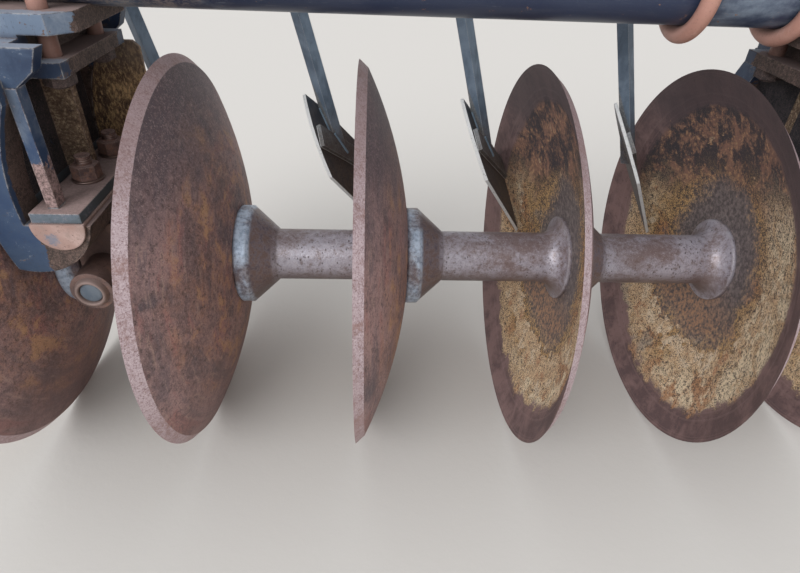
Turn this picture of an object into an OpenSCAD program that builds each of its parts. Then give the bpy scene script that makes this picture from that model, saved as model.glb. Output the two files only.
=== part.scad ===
// Disc harrow gang: six dished discs on a square gang bolt, hung by two bearing
// hangers from a round pipe beam, with one scraper for each disc.
// X runs along the gang, Y from front to rear, Z up. The origin is the middle of
// the top face of the right frame saddle, where the gang is bolted to its frame.

/* [Discs] */
// Diameter of a disc
disc_d = 660; // [600:5:700]
// Thickness of the blade
disc_t = 7; // [5:0.5:9]
// Depth of the dish, from the rim to the outer face of the flat centre
dish_depth = 82.5; // [70:0.5:95]
// Diameter of the flat centre that the spools clamp
disc_flat_d = 178; // [174:1:200]
// Distance from one disc to the next
disc_pitch = 290; // [275:1:320]
// Width of the ground bevel at the rim
bevel_w = 13; // [8:0.5:20]

/* [Gang bolt and spools] */
// Width across the flats of the square gang bolt
bolt_w = 38; // [32:1:42]
// Clearance between the gang bolt and what it passes through, on each side
bolt_gap = 0.4; // [0.3:0.1:0.8]
// How far the bolt stands out past each end nut
bolt_tail = 6; // [3:1:12]
// Outer diameter of the spool's tube
spool_d = 90; // [84:1:96]
// Wall of the spool's tube
spool_wall = 12; // [8:0.5:14]
// Diameter of the bell against the convex side of a disc
bell_d = 172; // [160:1:174]
// Thickness of the bell's flat rim
bell_t = 24; // [18:1:26]
// Size of the chamfers along the bell's rim
bell_edge = 3; // [1:0.5:5]
// Length of the cone behind the bell's rim
bell_cone = 42; // [36:1:52]
// Diameter of the flare against the concave side of the next disc
flare_d = 150; // [130:1:160]
// Thickness of the flare's edge
flare_t = 6; // [4:1:10]
// Diameter of the round end washers
washer_d = 112; // [90:1:130]
// Thickness of the end washers
washer_t = 22; // [14:1:28]
// Width across the flats of the square end nuts
nut_w = 70; // [60:1:78]
// Height of the end nuts
nut_h = 48; // [34:1:54]

/* [Bearings] */
// Distance from a disc's hub face to the middle of the bearing next to it
bearing_offset = 84.5; // [78:0.5:100]
// Diameter of the journal that turns in the bearing
journal_d = 64; // [58:1:70]
// Length of the journal between its two spools
journal_len = 96; // [80:1:104]
// Running clearance of the journal, on the radius
journal_gap = 0.05; // [0.02:0.01:0.1]
// Free space between the housing and the spool at each side
side_gap = 8; // [6:0.5:12]
// Outer diameter of the bearing housing
housing_d = 122; // [112:1:130]
// Distance from the axle to the end of a trunnion boss, to the front and rear
boss_reach = 140; // [120:1:150]
// Diameter of the trunnion bosses
boss_d = 66; // [56:1:74]

/* [Hangers] */
// Height of the half-round block's centre above the axle
cradle_z = 145; // [140:1:150]
// Radius of the half-round block
block_r = 37; // [32:0.5:40]
// Radius of the cradle's outer round
cradle_r = 94; // [92:0.5:95]
// How far the centre of the outer round stands off to the left of the block
cradle_shift = 49; // [48:0.5:50]
// Height of the centre of the outer round above the block's centre
cradle_lift = 16; // [15:0.5:18]
// Width of the cradle between the arms, to the left of the block's centre
cradle_left = 72; // [64:0.5:74]
// Free space between the cradle and the spool's bell
bell_gap = 8; // [6:0.5:12]
// Half of the hanger's length from front to rear
hanger_half = 165; // [150:1:180]
// Thickness of the bolt plate
plate_t = 15; // [12:0.5:18]
// Width of the bolt plate
plate_w = 68; // [60:1:70]
// Height of a hanger bolt's end above its plate
bolt_top = 38; // [30:1:40]
// Distance of each hanger bolt from the axle, to the front and rear
hanger_bolt_y = 50; // [49:0.5:56]
// Diameter of the hanger bolts
hanger_bolt_d = 22; // [18:1:24]
// Distance that the hanger's head stands off to the left of the bearing
head_shift = 32; // [26:0.5:38]
// Width of the head's upper flange
head_w = 184; // [170:1:190]
// Thickness of the head's upper flange
head_t = 25; // [20:0.5:30]
// Thickness of the head's lower flange
head_low_t = 20; // [16:0.5:24]
// Free height between the head's two flanges
head_space = 32; // [30:1:40]
// Half of the head's length from front to rear
head_half = 105; // [95:1:115]
// Distance of the clamping U-bolts from the left and right ends of the head
head_edge = 47; // [40:0.5:50]
// How far the upper flange stands out past the lower one at each side
head_step = 22; // [16:0.5:26]
// Size of the chamfers on the upper flange's corners
head_corner = 26; // [20:0.5:32]
// Width of the bowed arm at the left of a hanger
arm_w = 46; // [40:0.5:47]
// Depth of each bowed arm from front to rear
arm_depth = 50; // [40:1:52]
// Inner radius of the bowed arm
arm_r = 296; // [290:1:302]
// Height of the arm's bend above the cradle's centre
arm_lift = 30; // [26:1:34]
// Width of the leg's front and rear bars
leg_bar_w = 15; // [12:1:18]
// Distance from the bearing's middle to the left side of those bars
leg_bar_left = 15; // [13:1:17]
// Width of the leg's mid rib
leg_rib_w = 49; // [44:1:52]

/* [Beam and clamps] */
// Outer diameter of the pipe beam
beam_d = 114; // [104:1:120]
// Wall of the pipe beam
beam_wall = 9; // [6:0.5:12]
// Height of the beam's centre above the gang's axle
beam_z = 456; // [450:1:470]
// How far the beam runs past the rim of the left end disc
beam_past_left = 175; // [165:1:220]
// How far the beam runs past the rim of the right end disc
beam_past_right = 135; // [60:1:180]
// Diameter of a U-bolt's bar
ubolt_d = 24; // [20:1:26]
// Diameter of a U-bolt's threaded ends
stud_d = 22; // [18:1:24]
// Free space between a hanger's head and the nearest U-bolt of the saddle at its left
saddle_gap = 11; // [8:0.5:20]
// Distance between a saddle's two U-bolts
saddle_span = 140; // [130:1:144]
// Length of a frame saddle along the beam
saddle_len = 200; // [180:1:210]
// Width of a frame saddle across the beam
saddle_w = 200; // [180:1:240]
// Height of the saddle's top face above the beam
saddle_rise = 18; // [12:1:26]
// Height that the U-bolt's threaded legs stand above the saddle
stud_len = 60; // [40:1:90]

/* [Scrapers] */
// Free space between a scraper blade and its disc
blade_gap = 6; // [5.5:0.5:9]
// Thickness of the scraper blades
blade_t = 6; // [5:0.5:8]
// Length of a blade's free edge
blade_edge = 157; // [150:1:160]
// How far the free edge bows out
blade_bow = 11; // [6:0.5:14]
// Width of the strap that runs across a blade from the angle iron to the disc
strap_w = 42; // [34:1:46]
// Thickness of that strap
strap_t = 8; // [6:0.5:10]
// Leg of the angle iron that carries a blade
shank_leg = 21; // [19:0.5:24]
// Thickness of the angle iron
shank_t = 4; // [3:0.5:5]
// Length of the angle iron
shank_len = 385; // [375:1:400]
// Lean of the angle iron to the rear
shank_back = 4.8; // [3:0.2:6]
// Lean of the angle iron to the left
shank_side = 15; // [13:0.5:17]
// Thickness of the straps that clamp the angle irons to the scraper bar
clamp_t = 6; // [5:0.5:8]
// Diameter of the clamps' bolts
clamp_bolt_d = 12; // [10:1:14]
// Side of the square scraper bar
bar_w = 45; // [38:1:50]
// Wall of the square scraper bar
bar_wall = 5; // [3:0.5:7]
// How far the scraper bar runs past the rims of the end discs, at the left
bar_past_left = 172; // [170:1:175]
// The same at the right
bar_past_right = 60; // [50:1:100]
// Thickness of the plate arms that carry the scraper bar
bracket_t = 14; // [10:1:18]
// Metal round the scraper bar in the plate arms
bracket_edge = 24; // [20:1:30]

/* [Hidden] */

// Number of discs
disc_n = 6;
// Number of segments that stands for a true circle
round_fn = 96;
// Number of segments of the large sphere that trims the scraper blades
ball_fn = 360;
// Small overlap that lets a cut run clear of a face
eps = 1;
// Clearance of seats that only touch
seat_gap = 0.2;
// Clearance of a bolt in its hole, on the diameter
hole_gap = 1;

// Places along the gang, from its middle
function rim_x(k) = (k - (disc_n - 1) / 2) * disc_pitch;
function bearing_x(side) =
    rim_x(side == "left" ? 0 : disc_n - 2) + dish_depth + bearing_offset;
function head_x(side) = bearing_x(side) - head_shift;
function saddle_x(side) =
    head_x(side) - head_w / 2 - saddle_gap - ubolt_d / 2 - saddle_span / 2;

// The dish is a piece of a sphere that runs from the rim to the flat centre
disc_r = disc_d / 2;
flat_r = disc_flat_d / 2;
hub_in = dish_depth - disc_t;
ball_x = (flat_r * flat_r + hub_in * hub_in - disc_r * disc_r) / (2 * hub_in);
ball_r = sqrt(disc_r * disc_r + ball_x * ball_x);

// Heights above the axle
beam_r = beam_d / 2;
saddle_top = beam_z + beam_r + saddle_rise;
plate_lift = 4;
plate_z = cradle_z + plate_lift;
plate_top = plate_z + plate_t;
head_lip = 6;
head_top = beam_z - beam_r + head_lip;
head_low_top = head_top - head_t - head_space;
head_low_z = head_low_top - head_low_t;
saddle_grip = 10;
saddle_low = beam_z + beam_r - saddle_grip;

// U-bolts and their nuts
leg_y = beam_r + ubolt_d / 2;
nut_ratio = 1.65;
nut_rise = 0.75;
hanger_nut_rise = 1.1;
ubolt_nut_w = stud_d * nut_ratio;
ubolt_nut_h = stud_d * nut_rise;
ubolt_tail = 4;
nut_turned = 1.18;
head_ubolt_x = head_w / 2 - head_edge;
mount_x = saddle_x("right");

// Web between the head's two flanges, clear of the U-bolts at each side
web_gap = 5;
head_web_w = 2 * (head_ubolt_x - ubolt_d / 2 - web_gap);

// Bearing housing: the height of its bosses, and how its seat meets the cradle
block_half = hanger_half + plate_lift;
boss_rise = 14;
seat_drop = 45;
seat_margin = 16;
hanger_bolt_low = 28;

// Arm: how far its inner face stands off the block, and where it meets the cradle
arm_inset = 11;
arm_drop = 50;
arm_x = arm_r - block_r - arm_inset;

// Hanger leg, and the gussets that widen from its bars to the head
leg_right = leg_bar_w - leg_bar_left;
leg_bar_depth = 22;
leg_web_t = 8;
leg_web_x = -57;
leg_rib_t = 14;
leg_inset = 15;
leg_front = hanger_half - leg_inset;
web_half = hanger_half - arm_depth - seat_gap;
gusset_w = 37;
gusset_rise = 28;

// Scraper: the foot of the shank's ridge, from the middle of the disc's rim plane
shank_foot = [-41, 179, 110];
shank_depth = (shank_leg + shank_t) / sqrt(2);
shank_over = 40;

// Blade: the upper end of its free edge, the turns of its plane about X, Y and Z,
// and the corners beyond the free edge, along that edge and away from it
blade_from = [-102, 178, 232];
blade_turn = [-40.2, 53.2, -58];
blade_tip = [270, 178];
blade_beyond = 215;
blade_top = [100, 20];
blade_notch = 60;
bow_steps = 8;
strap_from = [80, -2];
strap_turn = 75.7;

// Scraper bar: square to the shanks' lean to the rear, close behind them
bar_up = (shank_len - shank_over) * cos(shank_side);
bar_back = shank_depth + bar_w / 2;
bar_y = shank_foot[1] + bar_up * sin(shank_back) + bar_back * cos(shank_back);
bar_z = shank_foot[2] + bar_up * cos(shank_back) - bar_back * sin(shank_back);
clamp_x = shank_foot[0] - (shank_len - shank_over) * sin(shank_side);
clamp_span = 54;
clamp_edge = 12;
clamp_w = clamp_span + 2 * clamp_edge;
clamp_h = 30;
clamp_nut_h = clamp_bolt_d * nut_rise;
clamp_tail = 4;
clamp_head_h = 8;
bracket_at = [rim_x(1) - 40, rim_x(3) + 60, rim_x(disc_n - 1) + 35];

module at_axle() {
    translate([-mount_x, 0, -saddle_top]) children();
}

module along_x(x) {
    translate([x, 0, 0]) rotate([0, 90, 0]) children();
}

module along_y(at) {
    translate(at) rotate([-90, 0, 0]) children();
}

module tube(d, bore, h) {
    difference() {
        cylinder(d = d, h = h, $fn = round_fn);
        translate([0, 0, -eps]) cylinder(d = bore, h = h + 2 * eps, $fn = round_fn);
    }
}

module block(lo, hi) {
    translate(lo) cube([hi[0] - lo[0], hi[1] - lo[1], hi[2] - lo[2]]);
}

// A plate in the plane across the gang's width, from y_lo to y_hi
module front_plate(y_lo, y_hi) {
    translate([0, y_hi, 0]) rotate([90, 0, 0]) linear_extrude(height = y_hi - y_lo) children();
}

// Disc with its flat centre, square hole and ground edge. The rim lies at x = 0.
module disc(k) {
    hole = bolt_w + 2 * bolt_gap;
    out_r = ball_r + disc_t;
    bevel_r = disc_r - bevel_w;
    bevel_x = ball_x + sqrt(out_r * out_r - bevel_r * bevel_r);
    color([0.42, 0.31, 0.29]) at_axle() along_x(rim_x(k)) difference() {
        intersection() {
            translate([0, 0, ball_x]) sphere(r = out_r, $fn = round_fn);
            cylinder(r = disc_r, h = dish_depth, $fn = round_fn);
            // Ground edge: a cone that meets the sharp rim
            cylinder(r1 = disc_r, r2 = disc_r - bevel_w * dish_depth / bevel_x,
                h = dish_depth, $fn = round_fn);
        }
        intersection() {
            translate([0, 0, ball_x]) sphere(r = ball_r, $fn = round_fn);
            translate([0, 0, -eps]) cylinder(r = disc_r + eps, h = hub_in + eps, $fn = round_fn);
        }
        translate([-hole / 2, -hole / 2, 0]) cube([hole, hole, dish_depth + eps]);
    }
}

// Bell end of a spool, its flat rim at x = 0, narrowing to the tube. Where the
// spool is short, the cone is cut off at the length cone.
module bell(cone) {
    rim_r = bell_d / 2;
    wide_r = rim_r - bell_edge;
    cut_r = wide_r - (wide_r - spool_d / 2) * cone / bell_cone;
    rotate_extrude($fn = round_fn) polygon([
        [0, 0], [wide_r, 0], [rim_r, bell_edge], [rim_r, bell_t - bell_edge],
        [wide_r, bell_t], [cut_r, bell_t + cone], [0, bell_t + cone]]);
}

// Flared end of a spool: a hollow curve that ends at x = 0
module flare() {
    curl = (flare_d - spool_d) / 2;
    rotate_extrude($fn = round_fn) difference() {
        translate([0, -curl - flare_t]) square([flare_d / 2, curl + flare_t]);
        translate([flare_d / 2, -curl - flare_t]) circle(r = curl, $fn = round_fn);
    }
}

// One spool piece from x0 to x1, with a bell or a flare where it meets a disc
module spool(x0, x1, has_bell, has_flare) {
    room = x1 - x0 - bell_t - eps;
    bore = spool_d - 2 * spool_wall;
    color([0.40, 0.34, 0.36]) at_axle() difference() {
        union() {
            along_x(x0) cylinder(d = spool_d, h = x1 - x0, $fn = round_fn);
            if (has_bell) along_x(x0) bell(min(bell_cone, room));
            if (has_flare) along_x(x1) flare();
        }
        along_x(x0 - eps) cylinder(d = bore, h = x1 - x0 + 2 * eps, $fn = round_fn);
    }
}

module full_spool(k) {
    spool(rim_x(k) + dish_depth, rim_x(k + 1) + hub_in, true, true);
}

module near_spool(side) {
    x = bearing_x(side);
    spool(x - bearing_offset, x - journal_len / 2, true, false);
}

module far_spool(side) {
    x = bearing_x(side);
    spool(x + journal_len / 2, x - bearing_offset + disc_pitch - disc_t, false, true);
}

module journal(side) {
    bore = bolt_w * sqrt(2) + 2 * bolt_gap;
    color([0.45, 0.43, 0.44]) at_axle() along_x(bearing_x(side) - journal_len / 2)
        tube(journal_d, bore, journal_len);
}

module end_washer(side) {
    hole = bolt_w + 2 * bolt_gap;
    x = side == "left" ? rim_x(0) + hub_in - washer_t : rim_x(disc_n - 1) + dish_depth;
    color([0.36, 0.28, 0.26]) at_axle() along_x(x) difference() {
        cylinder(d = washer_d, h = washer_t, $fn = round_fn);
        translate([-hole / 2, -hole / 2, -eps]) cube([hole, hole, washer_t + 2 * eps]);
    }
}

module end_nut(side) {
    hole = bolt_w + 2 * bolt_gap;
    left = side == "left";
    turned_d = nut_w * nut_turned;
    wide_d = turned_d + 4 * nut_h;
    x = left ? rim_x(0) + hub_in - washer_t - nut_h : rim_x(disc_n - 1) + dish_depth + washer_t;
    color([0.36, 0.27, 0.25]) at_axle() along_x(x) difference() {
        intersection() {
            translate([-nut_w / 2, -nut_w / 2, 0]) cube([nut_w, nut_w, nut_h]);
            // The corners are turned off at the outer end
            cylinder(d1 = left ? turned_d : wide_d, d2 = left ? wide_d : turned_d,
                h = nut_h, $fn = round_fn);
        }
        translate([-hole / 2, -hole / 2, -eps]) cube([hole, hole, nut_h + 2 * eps]);
    }
}

module gang_bolt() {
    x0 = rim_x(0) + hub_in - washer_t - nut_h - bolt_tail;
    x1 = rim_x(disc_n - 1) + dish_depth + washer_t + nut_h + bolt_tail;
    color([0.38, 0.30, 0.28]) at_axle()
        block([x0, -bolt_w / 2, -bolt_w / 2], [x1, bolt_w / 2, bolt_w / 2]);
}

// Bearing housing: a sleeve round the journal, a seat that fits the cradle's
// round underside, and a trunnion boss to the front and the rear
module housing(side) {
    width = journal_len - 2 * side_gap;
    x = bearing_x(side);
    seat_y = hanger_bolt_y + hanger_bolt_d / 2 + seat_margin;
    color([0.42, 0.33, 0.31]) at_axle() translate([x, 0, 0]) difference() {
        union() {
            along_x(-width / 2) cylinder(d = housing_d, h = width, $fn = round_fn);
            block([-width / 2, -seat_y, boss_rise], [width / 2, seat_y, cradle_z - seat_drop]);
            along_y([0, -boss_reach, boss_rise])
                cylinder(d = boss_d, h = 2 * boss_reach, $fn = round_fn);
        }
        along_x(-width / 2 - eps) cylinder(
            r = journal_d / 2 + journal_gap, h = width + 2 * eps, $fn = round_fn);
        along_y([-cradle_shift, -seat_y - eps, cradle_z + cradle_lift]) cylinder(
            r = cradle_r + seat_gap, h = 2 * (seat_y + eps), $fn = round_fn);
        for (y = [-hanger_bolt_y, hanger_bolt_y])
            translate([0, y, hanger_bolt_low - 2 * eps])
                cylinder(d = hanger_bolt_d + hole_gap, h = cradle_z, $fn = round_fn);
    }
}

module block_half_round(side) {
    color([0.72, 0.45, 0.38]) at_axle() translate([bearing_x(side), 0, 0]) difference() {
        along_y([0, -block_half, cradle_z])
            cylinder(r = block_r, h = 2 * block_half, $fn = round_fn);
        block([-block_r - eps, -block_half - eps, plate_z],
            [block_r + eps, block_half + eps, cradle_z + block_r + eps]);
        for (y = [-hanger_bolt_y, hanger_bolt_y])
            translate([0, y, cradle_z - block_r - eps])
                cylinder(d = hanger_bolt_d + hole_gap, h = 2 * block_r, $fn = round_fn);
    }
}

// Outline of the bowed arm and its foot, seen from the front
module arm_outline() {
    intersection() {
        translate([arm_x, cradle_z + arm_lift]) difference() {
            circle(r = arm_r + arm_w, $fn = round_fn);
            circle(r = arm_r, $fn = round_fn);
        }
        translate([-2 * arm_r, cradle_z - arm_drop]) square([
            2 * arm_r - leg_bar_left - seat_gap, head_low_z + head_low_t / 2 - cradle_z + arm_drop]);
    }
    intersection() {
        translate([-cradle_shift, cradle_z + cradle_lift]) circle(r = cradle_r, $fn = round_fn);
        translate([arm_x, cradle_z + arm_lift]) circle(r = arm_r + arm_w, $fn = round_fn);
        translate([-2 * arm_r, 0]) square([4 * arm_r, cradle_z]);
    }
}

// Outline of the cradle between the arms
module cradle_outline() {
    intersection() {
        translate([-cradle_shift, cradle_z + cradle_lift]) circle(r = cradle_r, $fn = round_fn);
        translate([-cradle_left, 0]) square([2 * cradle_left, cradle_z]);
    }
}

// Upper flange of the head: a plate with chamfered corners
module head_flange() {
    half_w = head_w / 2;
    side_y = head_half - head_corner;
    side_x = half_w - head_corner;
    translate([-head_shift, 0, head_top - head_t]) linear_extrude(height = head_t) polygon([
        [-half_w, -side_y], [-side_x, -head_half], [side_x, -head_half], [half_w, -side_y],
        [half_w, side_y], [side_x, head_half], [-side_x, head_half], [-half_w, side_y]]);
}

// Hanger casting: flanged head under the beam, bowed arms and the long cradle
module hanger(side) {
    low_w = head_w - 2 * head_step;
    web_left = -head_shift - head_web_w / 2;
    web_right = -head_shift + head_web_w / 2;
    gusset_top = head_low_top + gusset_rise;
    color([0.24, 0.37, 0.52]) at_axle() translate([bearing_x(side), 0, 0]) difference() {
        union() {
            head_flange();
            block([-head_shift - low_w / 2, -head_half, head_low_z],
                [-head_shift + low_w / 2, head_half, head_low_top]);
            block([web_left, -leg_front, head_low_z], [web_right, leg_front, gusset_top]);
            block([web_left, -head_half, head_low_z], [web_right, head_half, head_top - head_t / 2]);
            for (y = [-leg_front, leg_front - leg_bar_depth])
                front_plate(y, y + leg_bar_depth) polygon([
                    [web_left, head_low_z], [leg_right, head_low_z],
                    [gusset_w - leg_bar_depth / 2, head_low_top], [gusset_w, gusset_top],
                    [web_left, gusset_top]]);
            for (y = [-hanger_half, hanger_half - arm_depth])
                front_plate(y, y + arm_depth) arm_outline();
            front_plate(-hanger_half, hanger_half) cradle_outline();
        }
        // Trough of the cradle
        along_y([0, -hanger_half - eps, cradle_z])
            cylinder(r = block_r + seat_gap, h = 2 * (hanger_half + eps), $fn = round_fn);
        // Room for the spool's bell beside the bearing
        along_x(-2 * cradle_r) cylinder(r = bell_d / 2 + bell_gap,
            h = 2 * cradle_r - journal_len / 2 + side_gap, $fn = round_fn);
        for (y = [-hanger_bolt_y, hanger_bolt_y])
            translate([0, y, 0])
                cylinder(d = hanger_bolt_d + hole_gap, h = cradle_z, $fn = round_fn);
        // Seat of the pipe beam
        along_x(-head_shift - head_w) translate([-beam_z, 0, 0])
            cylinder(r = beam_r + seat_gap, h = 2 * head_w, $fn = round_fn);
        for (x = [-head_ubolt_x, head_ubolt_x], y = [-leg_y, leg_y])
            translate([-head_shift + x, y, head_low_z - eps]) cylinder(
                d = ubolt_d + hole_gap, h = head_top - head_low_z + 2 * eps, $fn = round_fn);
    }
}

// Leg between the head and the bolt plate: front and rear bars, mid rib, and a
// web that closes the gap between the arms
module leg(side) {
    top = head_low_z;
    color([0.30, 0.38, 0.48]) at_axle() translate([bearing_x(side), 0, 0]) difference() {
        union() {
            block([-plate_w / 2, -hanger_half, plate_z], [plate_w / 2, hanger_half, plate_top]);
            for (y = [-leg_front, leg_front - leg_bar_depth])
                block([-leg_bar_left, y, plate_top - eps], [leg_right, y + leg_bar_depth, top]);
            block([leg_web_x, -web_half, cradle_z + seat_gap],
                [leg_web_x + leg_web_t, web_half, top]);
            block([leg_web_x, -leg_rib_t / 2, plate_z],
                [leg_web_x + leg_rib_w, leg_rib_t / 2, top]);
        }
        for (y = [-hanger_bolt_y, hanger_bolt_y])
            translate([0, y, plate_z - eps])
                cylinder(d = hanger_bolt_d + hole_gap, h = plate_t + 2 * eps, $fn = round_fn);
    }
}

module hex_nut(across, h) {
    rotate([0, 0, 30]) cylinder(d = across / cos(30), h = h, $fn = 6);
}

module hanger_bolts(side) {
    color([0.33, 0.25, 0.24]) at_axle() translate([bearing_x(side), 0, 0])
        for (y = [-hanger_bolt_y, hanger_bolt_y]) translate([0, y, 0]) {
            translate([0, 0, hanger_bolt_low]) cylinder(
                d = hanger_bolt_d, h = plate_top + bolt_top - hanger_bolt_low, $fn = round_fn);
            translate([0, 0, plate_top])
                hex_nut(hanger_bolt_d * nut_ratio, hanger_bolt_d * hanger_nut_rise);
        }
}

// A U-bolt in the plane x = 0, its bend round the beam, its plain legs up to
// z = thread and their threaded ends up to z = tip
module ubolt(thread, tip) {
    rotate([0, 0, 90]) translate([0, 0, beam_z]) rotate([90, 0, 0]) rotate([0, 0, 180])
        rotate_extrude(angle = 180, $fn = round_fn)
            translate([leg_y, 0]) circle(d = ubolt_d, $fn = round_fn);
    for (y = [-leg_y, leg_y]) translate([0, y, beam_z]) {
        cylinder(d = ubolt_d, h = thread - beam_z, $fn = round_fn);
        cylinder(d = stud_d, h = tip - beam_z, $fn = round_fn);
    }
}

module saddle_ubolts(side) {
    color([0.70, 0.42, 0.36]) at_axle()
        for (x = [-saddle_span / 2, saddle_span / 2]) translate([saddle_x(side) + x, 0, 0])
            ubolt(saddle_top, saddle_top + stud_len);
}

// Two U-bolts over the beam, their legs down through the head, with their nuts
module head_ubolts(side) {
    tip = head_low_z - ubolt_nut_h - ubolt_tail;
    color([0.70, 0.42, 0.36]) at_axle()
        for (x = [-head_ubolt_x, head_ubolt_x]) translate([head_x(side) + x, 0, 0]) {
            translate([0, 0, 2 * beam_z]) mirror([0, 0, 1])
                ubolt(2 * beam_z - head_low_z, 2 * beam_z - tip);
            for (y = [-leg_y, leg_y])
                translate([0, y, head_low_z - ubolt_nut_h]) hex_nut(ubolt_nut_w, ubolt_nut_h);
        }
}

module saddle(side) {
    color([0.24, 0.37, 0.52]) at_axle() translate([saddle_x(side), 0, 0]) difference() {
        block([-saddle_len / 2, -saddle_w / 2, saddle_low],
            [saddle_len / 2, saddle_w / 2, saddle_top]);
        along_x(-saddle_len) translate([-beam_z, 0, 0])
            cylinder(r = beam_r + seat_gap, h = 2 * saddle_len, $fn = round_fn);
        for (x = [-saddle_span / 2, saddle_span / 2], y = [-leg_y, leg_y])
            translate([x, y, saddle_low - eps]) cylinder(
                d = ubolt_d + hole_gap, h = saddle_top - saddle_low + 2 * eps, $fn = round_fn);
    }
}

beam_x0 = rim_x(0) - beam_past_left;
beam_x1 = rim_x(disc_n - 1) + beam_past_right;
cap_t = 6;
cap_inset = 3;

module beam() {
    color([0.16, 0.20, 0.28]) at_axle() translate([0, 0, beam_z]) along_x(beam_x0)
        tube(beam_d, beam_d - 2 * beam_wall, beam_x1 - beam_x0);
}

module beam_cap(x) {
    color([0.16, 0.20, 0.28]) at_axle() translate([0, 0, beam_z]) along_x(x)
        cylinder(d = beam_d - 2 * cap_inset, h = cap_t, $fn = round_fn);
}

// Places its children at the scraper bar's centre line, square to the bar
module at_bar(x) {
    translate([x, bar_y, bar_z]) rotate([-shank_back, 0, 0]) children();
}

module scraper_bar() {
    half = bar_w / 2;
    inner = half - bar_wall;
    x0 = rim_x(0) - bar_past_left;
    x1 = rim_x(disc_n - 1) + bar_past_right;
    color([0.30, 0.42, 0.55]) at_axle() difference() {
        at_bar(0) block([x0, -half, -half], [x1, half, half]);
        at_bar(0) block([x0 - eps, -inner, -inner], [x1 + eps, inner, inner]);
        for (k = [0:disc_n - 1], x = [-clamp_span / 2, clamp_span / 2])
            at_bar(rim_x(k) + clamp_x + x) along_y([0, -half - eps, 0])
                cylinder(d = clamp_bolt_d + hole_gap, h = bar_w + 2 * eps, $fn = round_fn);
    }
}

// Plate arms that stand on the rear of the beam and carry the scraper bar
module scraper_brackets() {
    half = bar_w / 2;
    edge = bracket_edge;
    color([0.24, 0.37, 0.52]) at_axle() for (x = bracket_at) translate([x, 0, 0])
        difference() {
            rotate([90, 0, 90]) linear_extrude(height = bracket_t) polygon([
                [beam_r / 2, beam_z + beam_r], [bar_y + half, bar_z + half + edge],
                [bar_y + half + edge, bar_z + half], [bar_y + half + edge, bar_z - half],
                [bar_y + half, bar_z - half - edge], [bar_y - half, bar_z - half - edge],
                [beam_r / 2, beam_z - beam_r]]);
            along_x(-eps) translate([-beam_z, 0, 0])
                cylinder(r = beam_r + seat_gap, h = bracket_t + 2 * eps, $fn = round_fn);
            at_bar(0) block([-eps, -half - seat_gap, -half - seat_gap],
                [bracket_t + eps, half + seat_gap, half + seat_gap]);
        }
}

// A strap across each angle iron, drawn up by two bolts through the scraper bar
module scraper_clamps() {
    half = bar_w / 2;
    front = -half - shank_depth - clamp_t;
    nut_w = clamp_bolt_d * nut_ratio;
    color([0.33, 0.28, 0.27]) at_axle() for (k = [0:disc_n - 1]) at_bar(rim_x(k) + clamp_x) {
        block([-clamp_w / 2, front, -clamp_h / 2], [clamp_w / 2, front + clamp_t, clamp_h / 2]);
        for (x = [-clamp_span / 2, clamp_span / 2]) {
            along_y([x, front - clamp_nut_h - clamp_tail, 0]) cylinder(d = clamp_bolt_d,
                h = half - front + clamp_nut_h + clamp_tail, $fn = round_fn);
            along_y([x, front - clamp_nut_h, 0]) hex_nut(nut_w, clamp_nut_h);
            along_y([x, half, 0]) hex_nut(nut_w, clamp_head_h);
        }
    }
}

// Outline of a blade, from its bowed free edge past the disc
module blade_outline() {
    free_edge = [for (i = [0:bow_steps]) let (t = i / bow_steps)
        [blade_edge * t, -4 * blade_bow * t * (1 - t)]];
    polygon(concat(free_edge, [blade_tip, [blade_tip[0], blade_beyond],
        [blade_top[0], blade_beyond], [blade_top[1], blade_notch]]));
}

// Scraper: an angle iron with its ridge to the front, welded to a strap across a
// flat blade. Blade and strap end at blade_gap from the disc's hollow face.
module scraper(k) {
    color([0.33, 0.42, 0.50]) at_axle() translate([rim_x(k), 0, 0]) {
        intersection() {
            translate([ball_x, 0, 0]) sphere(r = ball_r - blade_gap, $fn = ball_fn);
            translate(blade_from) rotate(blade_turn) {
                translate([0, 0, -blade_t])
                    linear_extrude(height = blade_t) blade_outline();
                translate([strap_from[0], strap_from[1], -blade_t / 2]) rotate([0, 0, strap_turn])
                    translate([0, -strap_w / 2, 0])
                        cube([blade_beyond, strap_w, strap_t + blade_t / 2]);
            }
        }
        translate(shank_foot) rotate([-shank_back, 0, 0]) rotate([0, -shank_side, 0])
            rotate([0, 0, 45]) difference() {
                cube([shank_leg, shank_leg, shank_len]);
                translate([shank_t, shank_t, -eps])
                    cube([shank_leg, shank_leg, shank_len + 2 * eps]);
            }
    }
}

beam();
beam_cap(beam_x0 - cap_t);  // beam_cap_left
beam_cap(beam_x1);  // beam_cap_right
saddle("left");  // saddle_left
saddle("right");  // saddle_right
saddle_ubolts("left");  // saddle_ubolts_left
saddle_ubolts("right");  // saddle_ubolts_right
hanger("left");  // hanger_left
hanger("right");  // hanger_right
leg("left");  // leg_left
leg("right");  // leg_right
block_half_round("left");  // block_left
block_half_round("right");  // block_right
housing("left");  // housing_left
housing("right");  // housing_right
hanger_bolts("left");  // hanger_bolts_left
hanger_bolts("right");  // hanger_bolts_right
head_ubolts("left");  // head_ubolts_left
head_ubolts("right");  // head_ubolts_right
scraper_bar();
scraper_brackets();
scraper_clamps();
scraper(0);  // scraper_1
scraper(1);  // scraper_2
scraper(2);  // scraper_3
scraper(3);  // scraper_4
scraper(4);  // scraper_5
scraper(5);  // scraper_6
disc(0);  // disc_1
disc(1);  // disc_2
disc(2);  // disc_3
disc(3);  // disc_4
disc(4);  // disc_5
disc(5);  // disc_6
full_spool(1);  // spool_2
full_spool(2);  // spool_3
full_spool(3);  // spool_4
near_spool("left");  // spool_left_near
far_spool("left");  // spool_left_far
near_spool("right");  // spool_right_near
far_spool("right");  // spool_right_far
journal("left");  // journal_left
journal("right");  // journal_right
gang_bolt();
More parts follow.
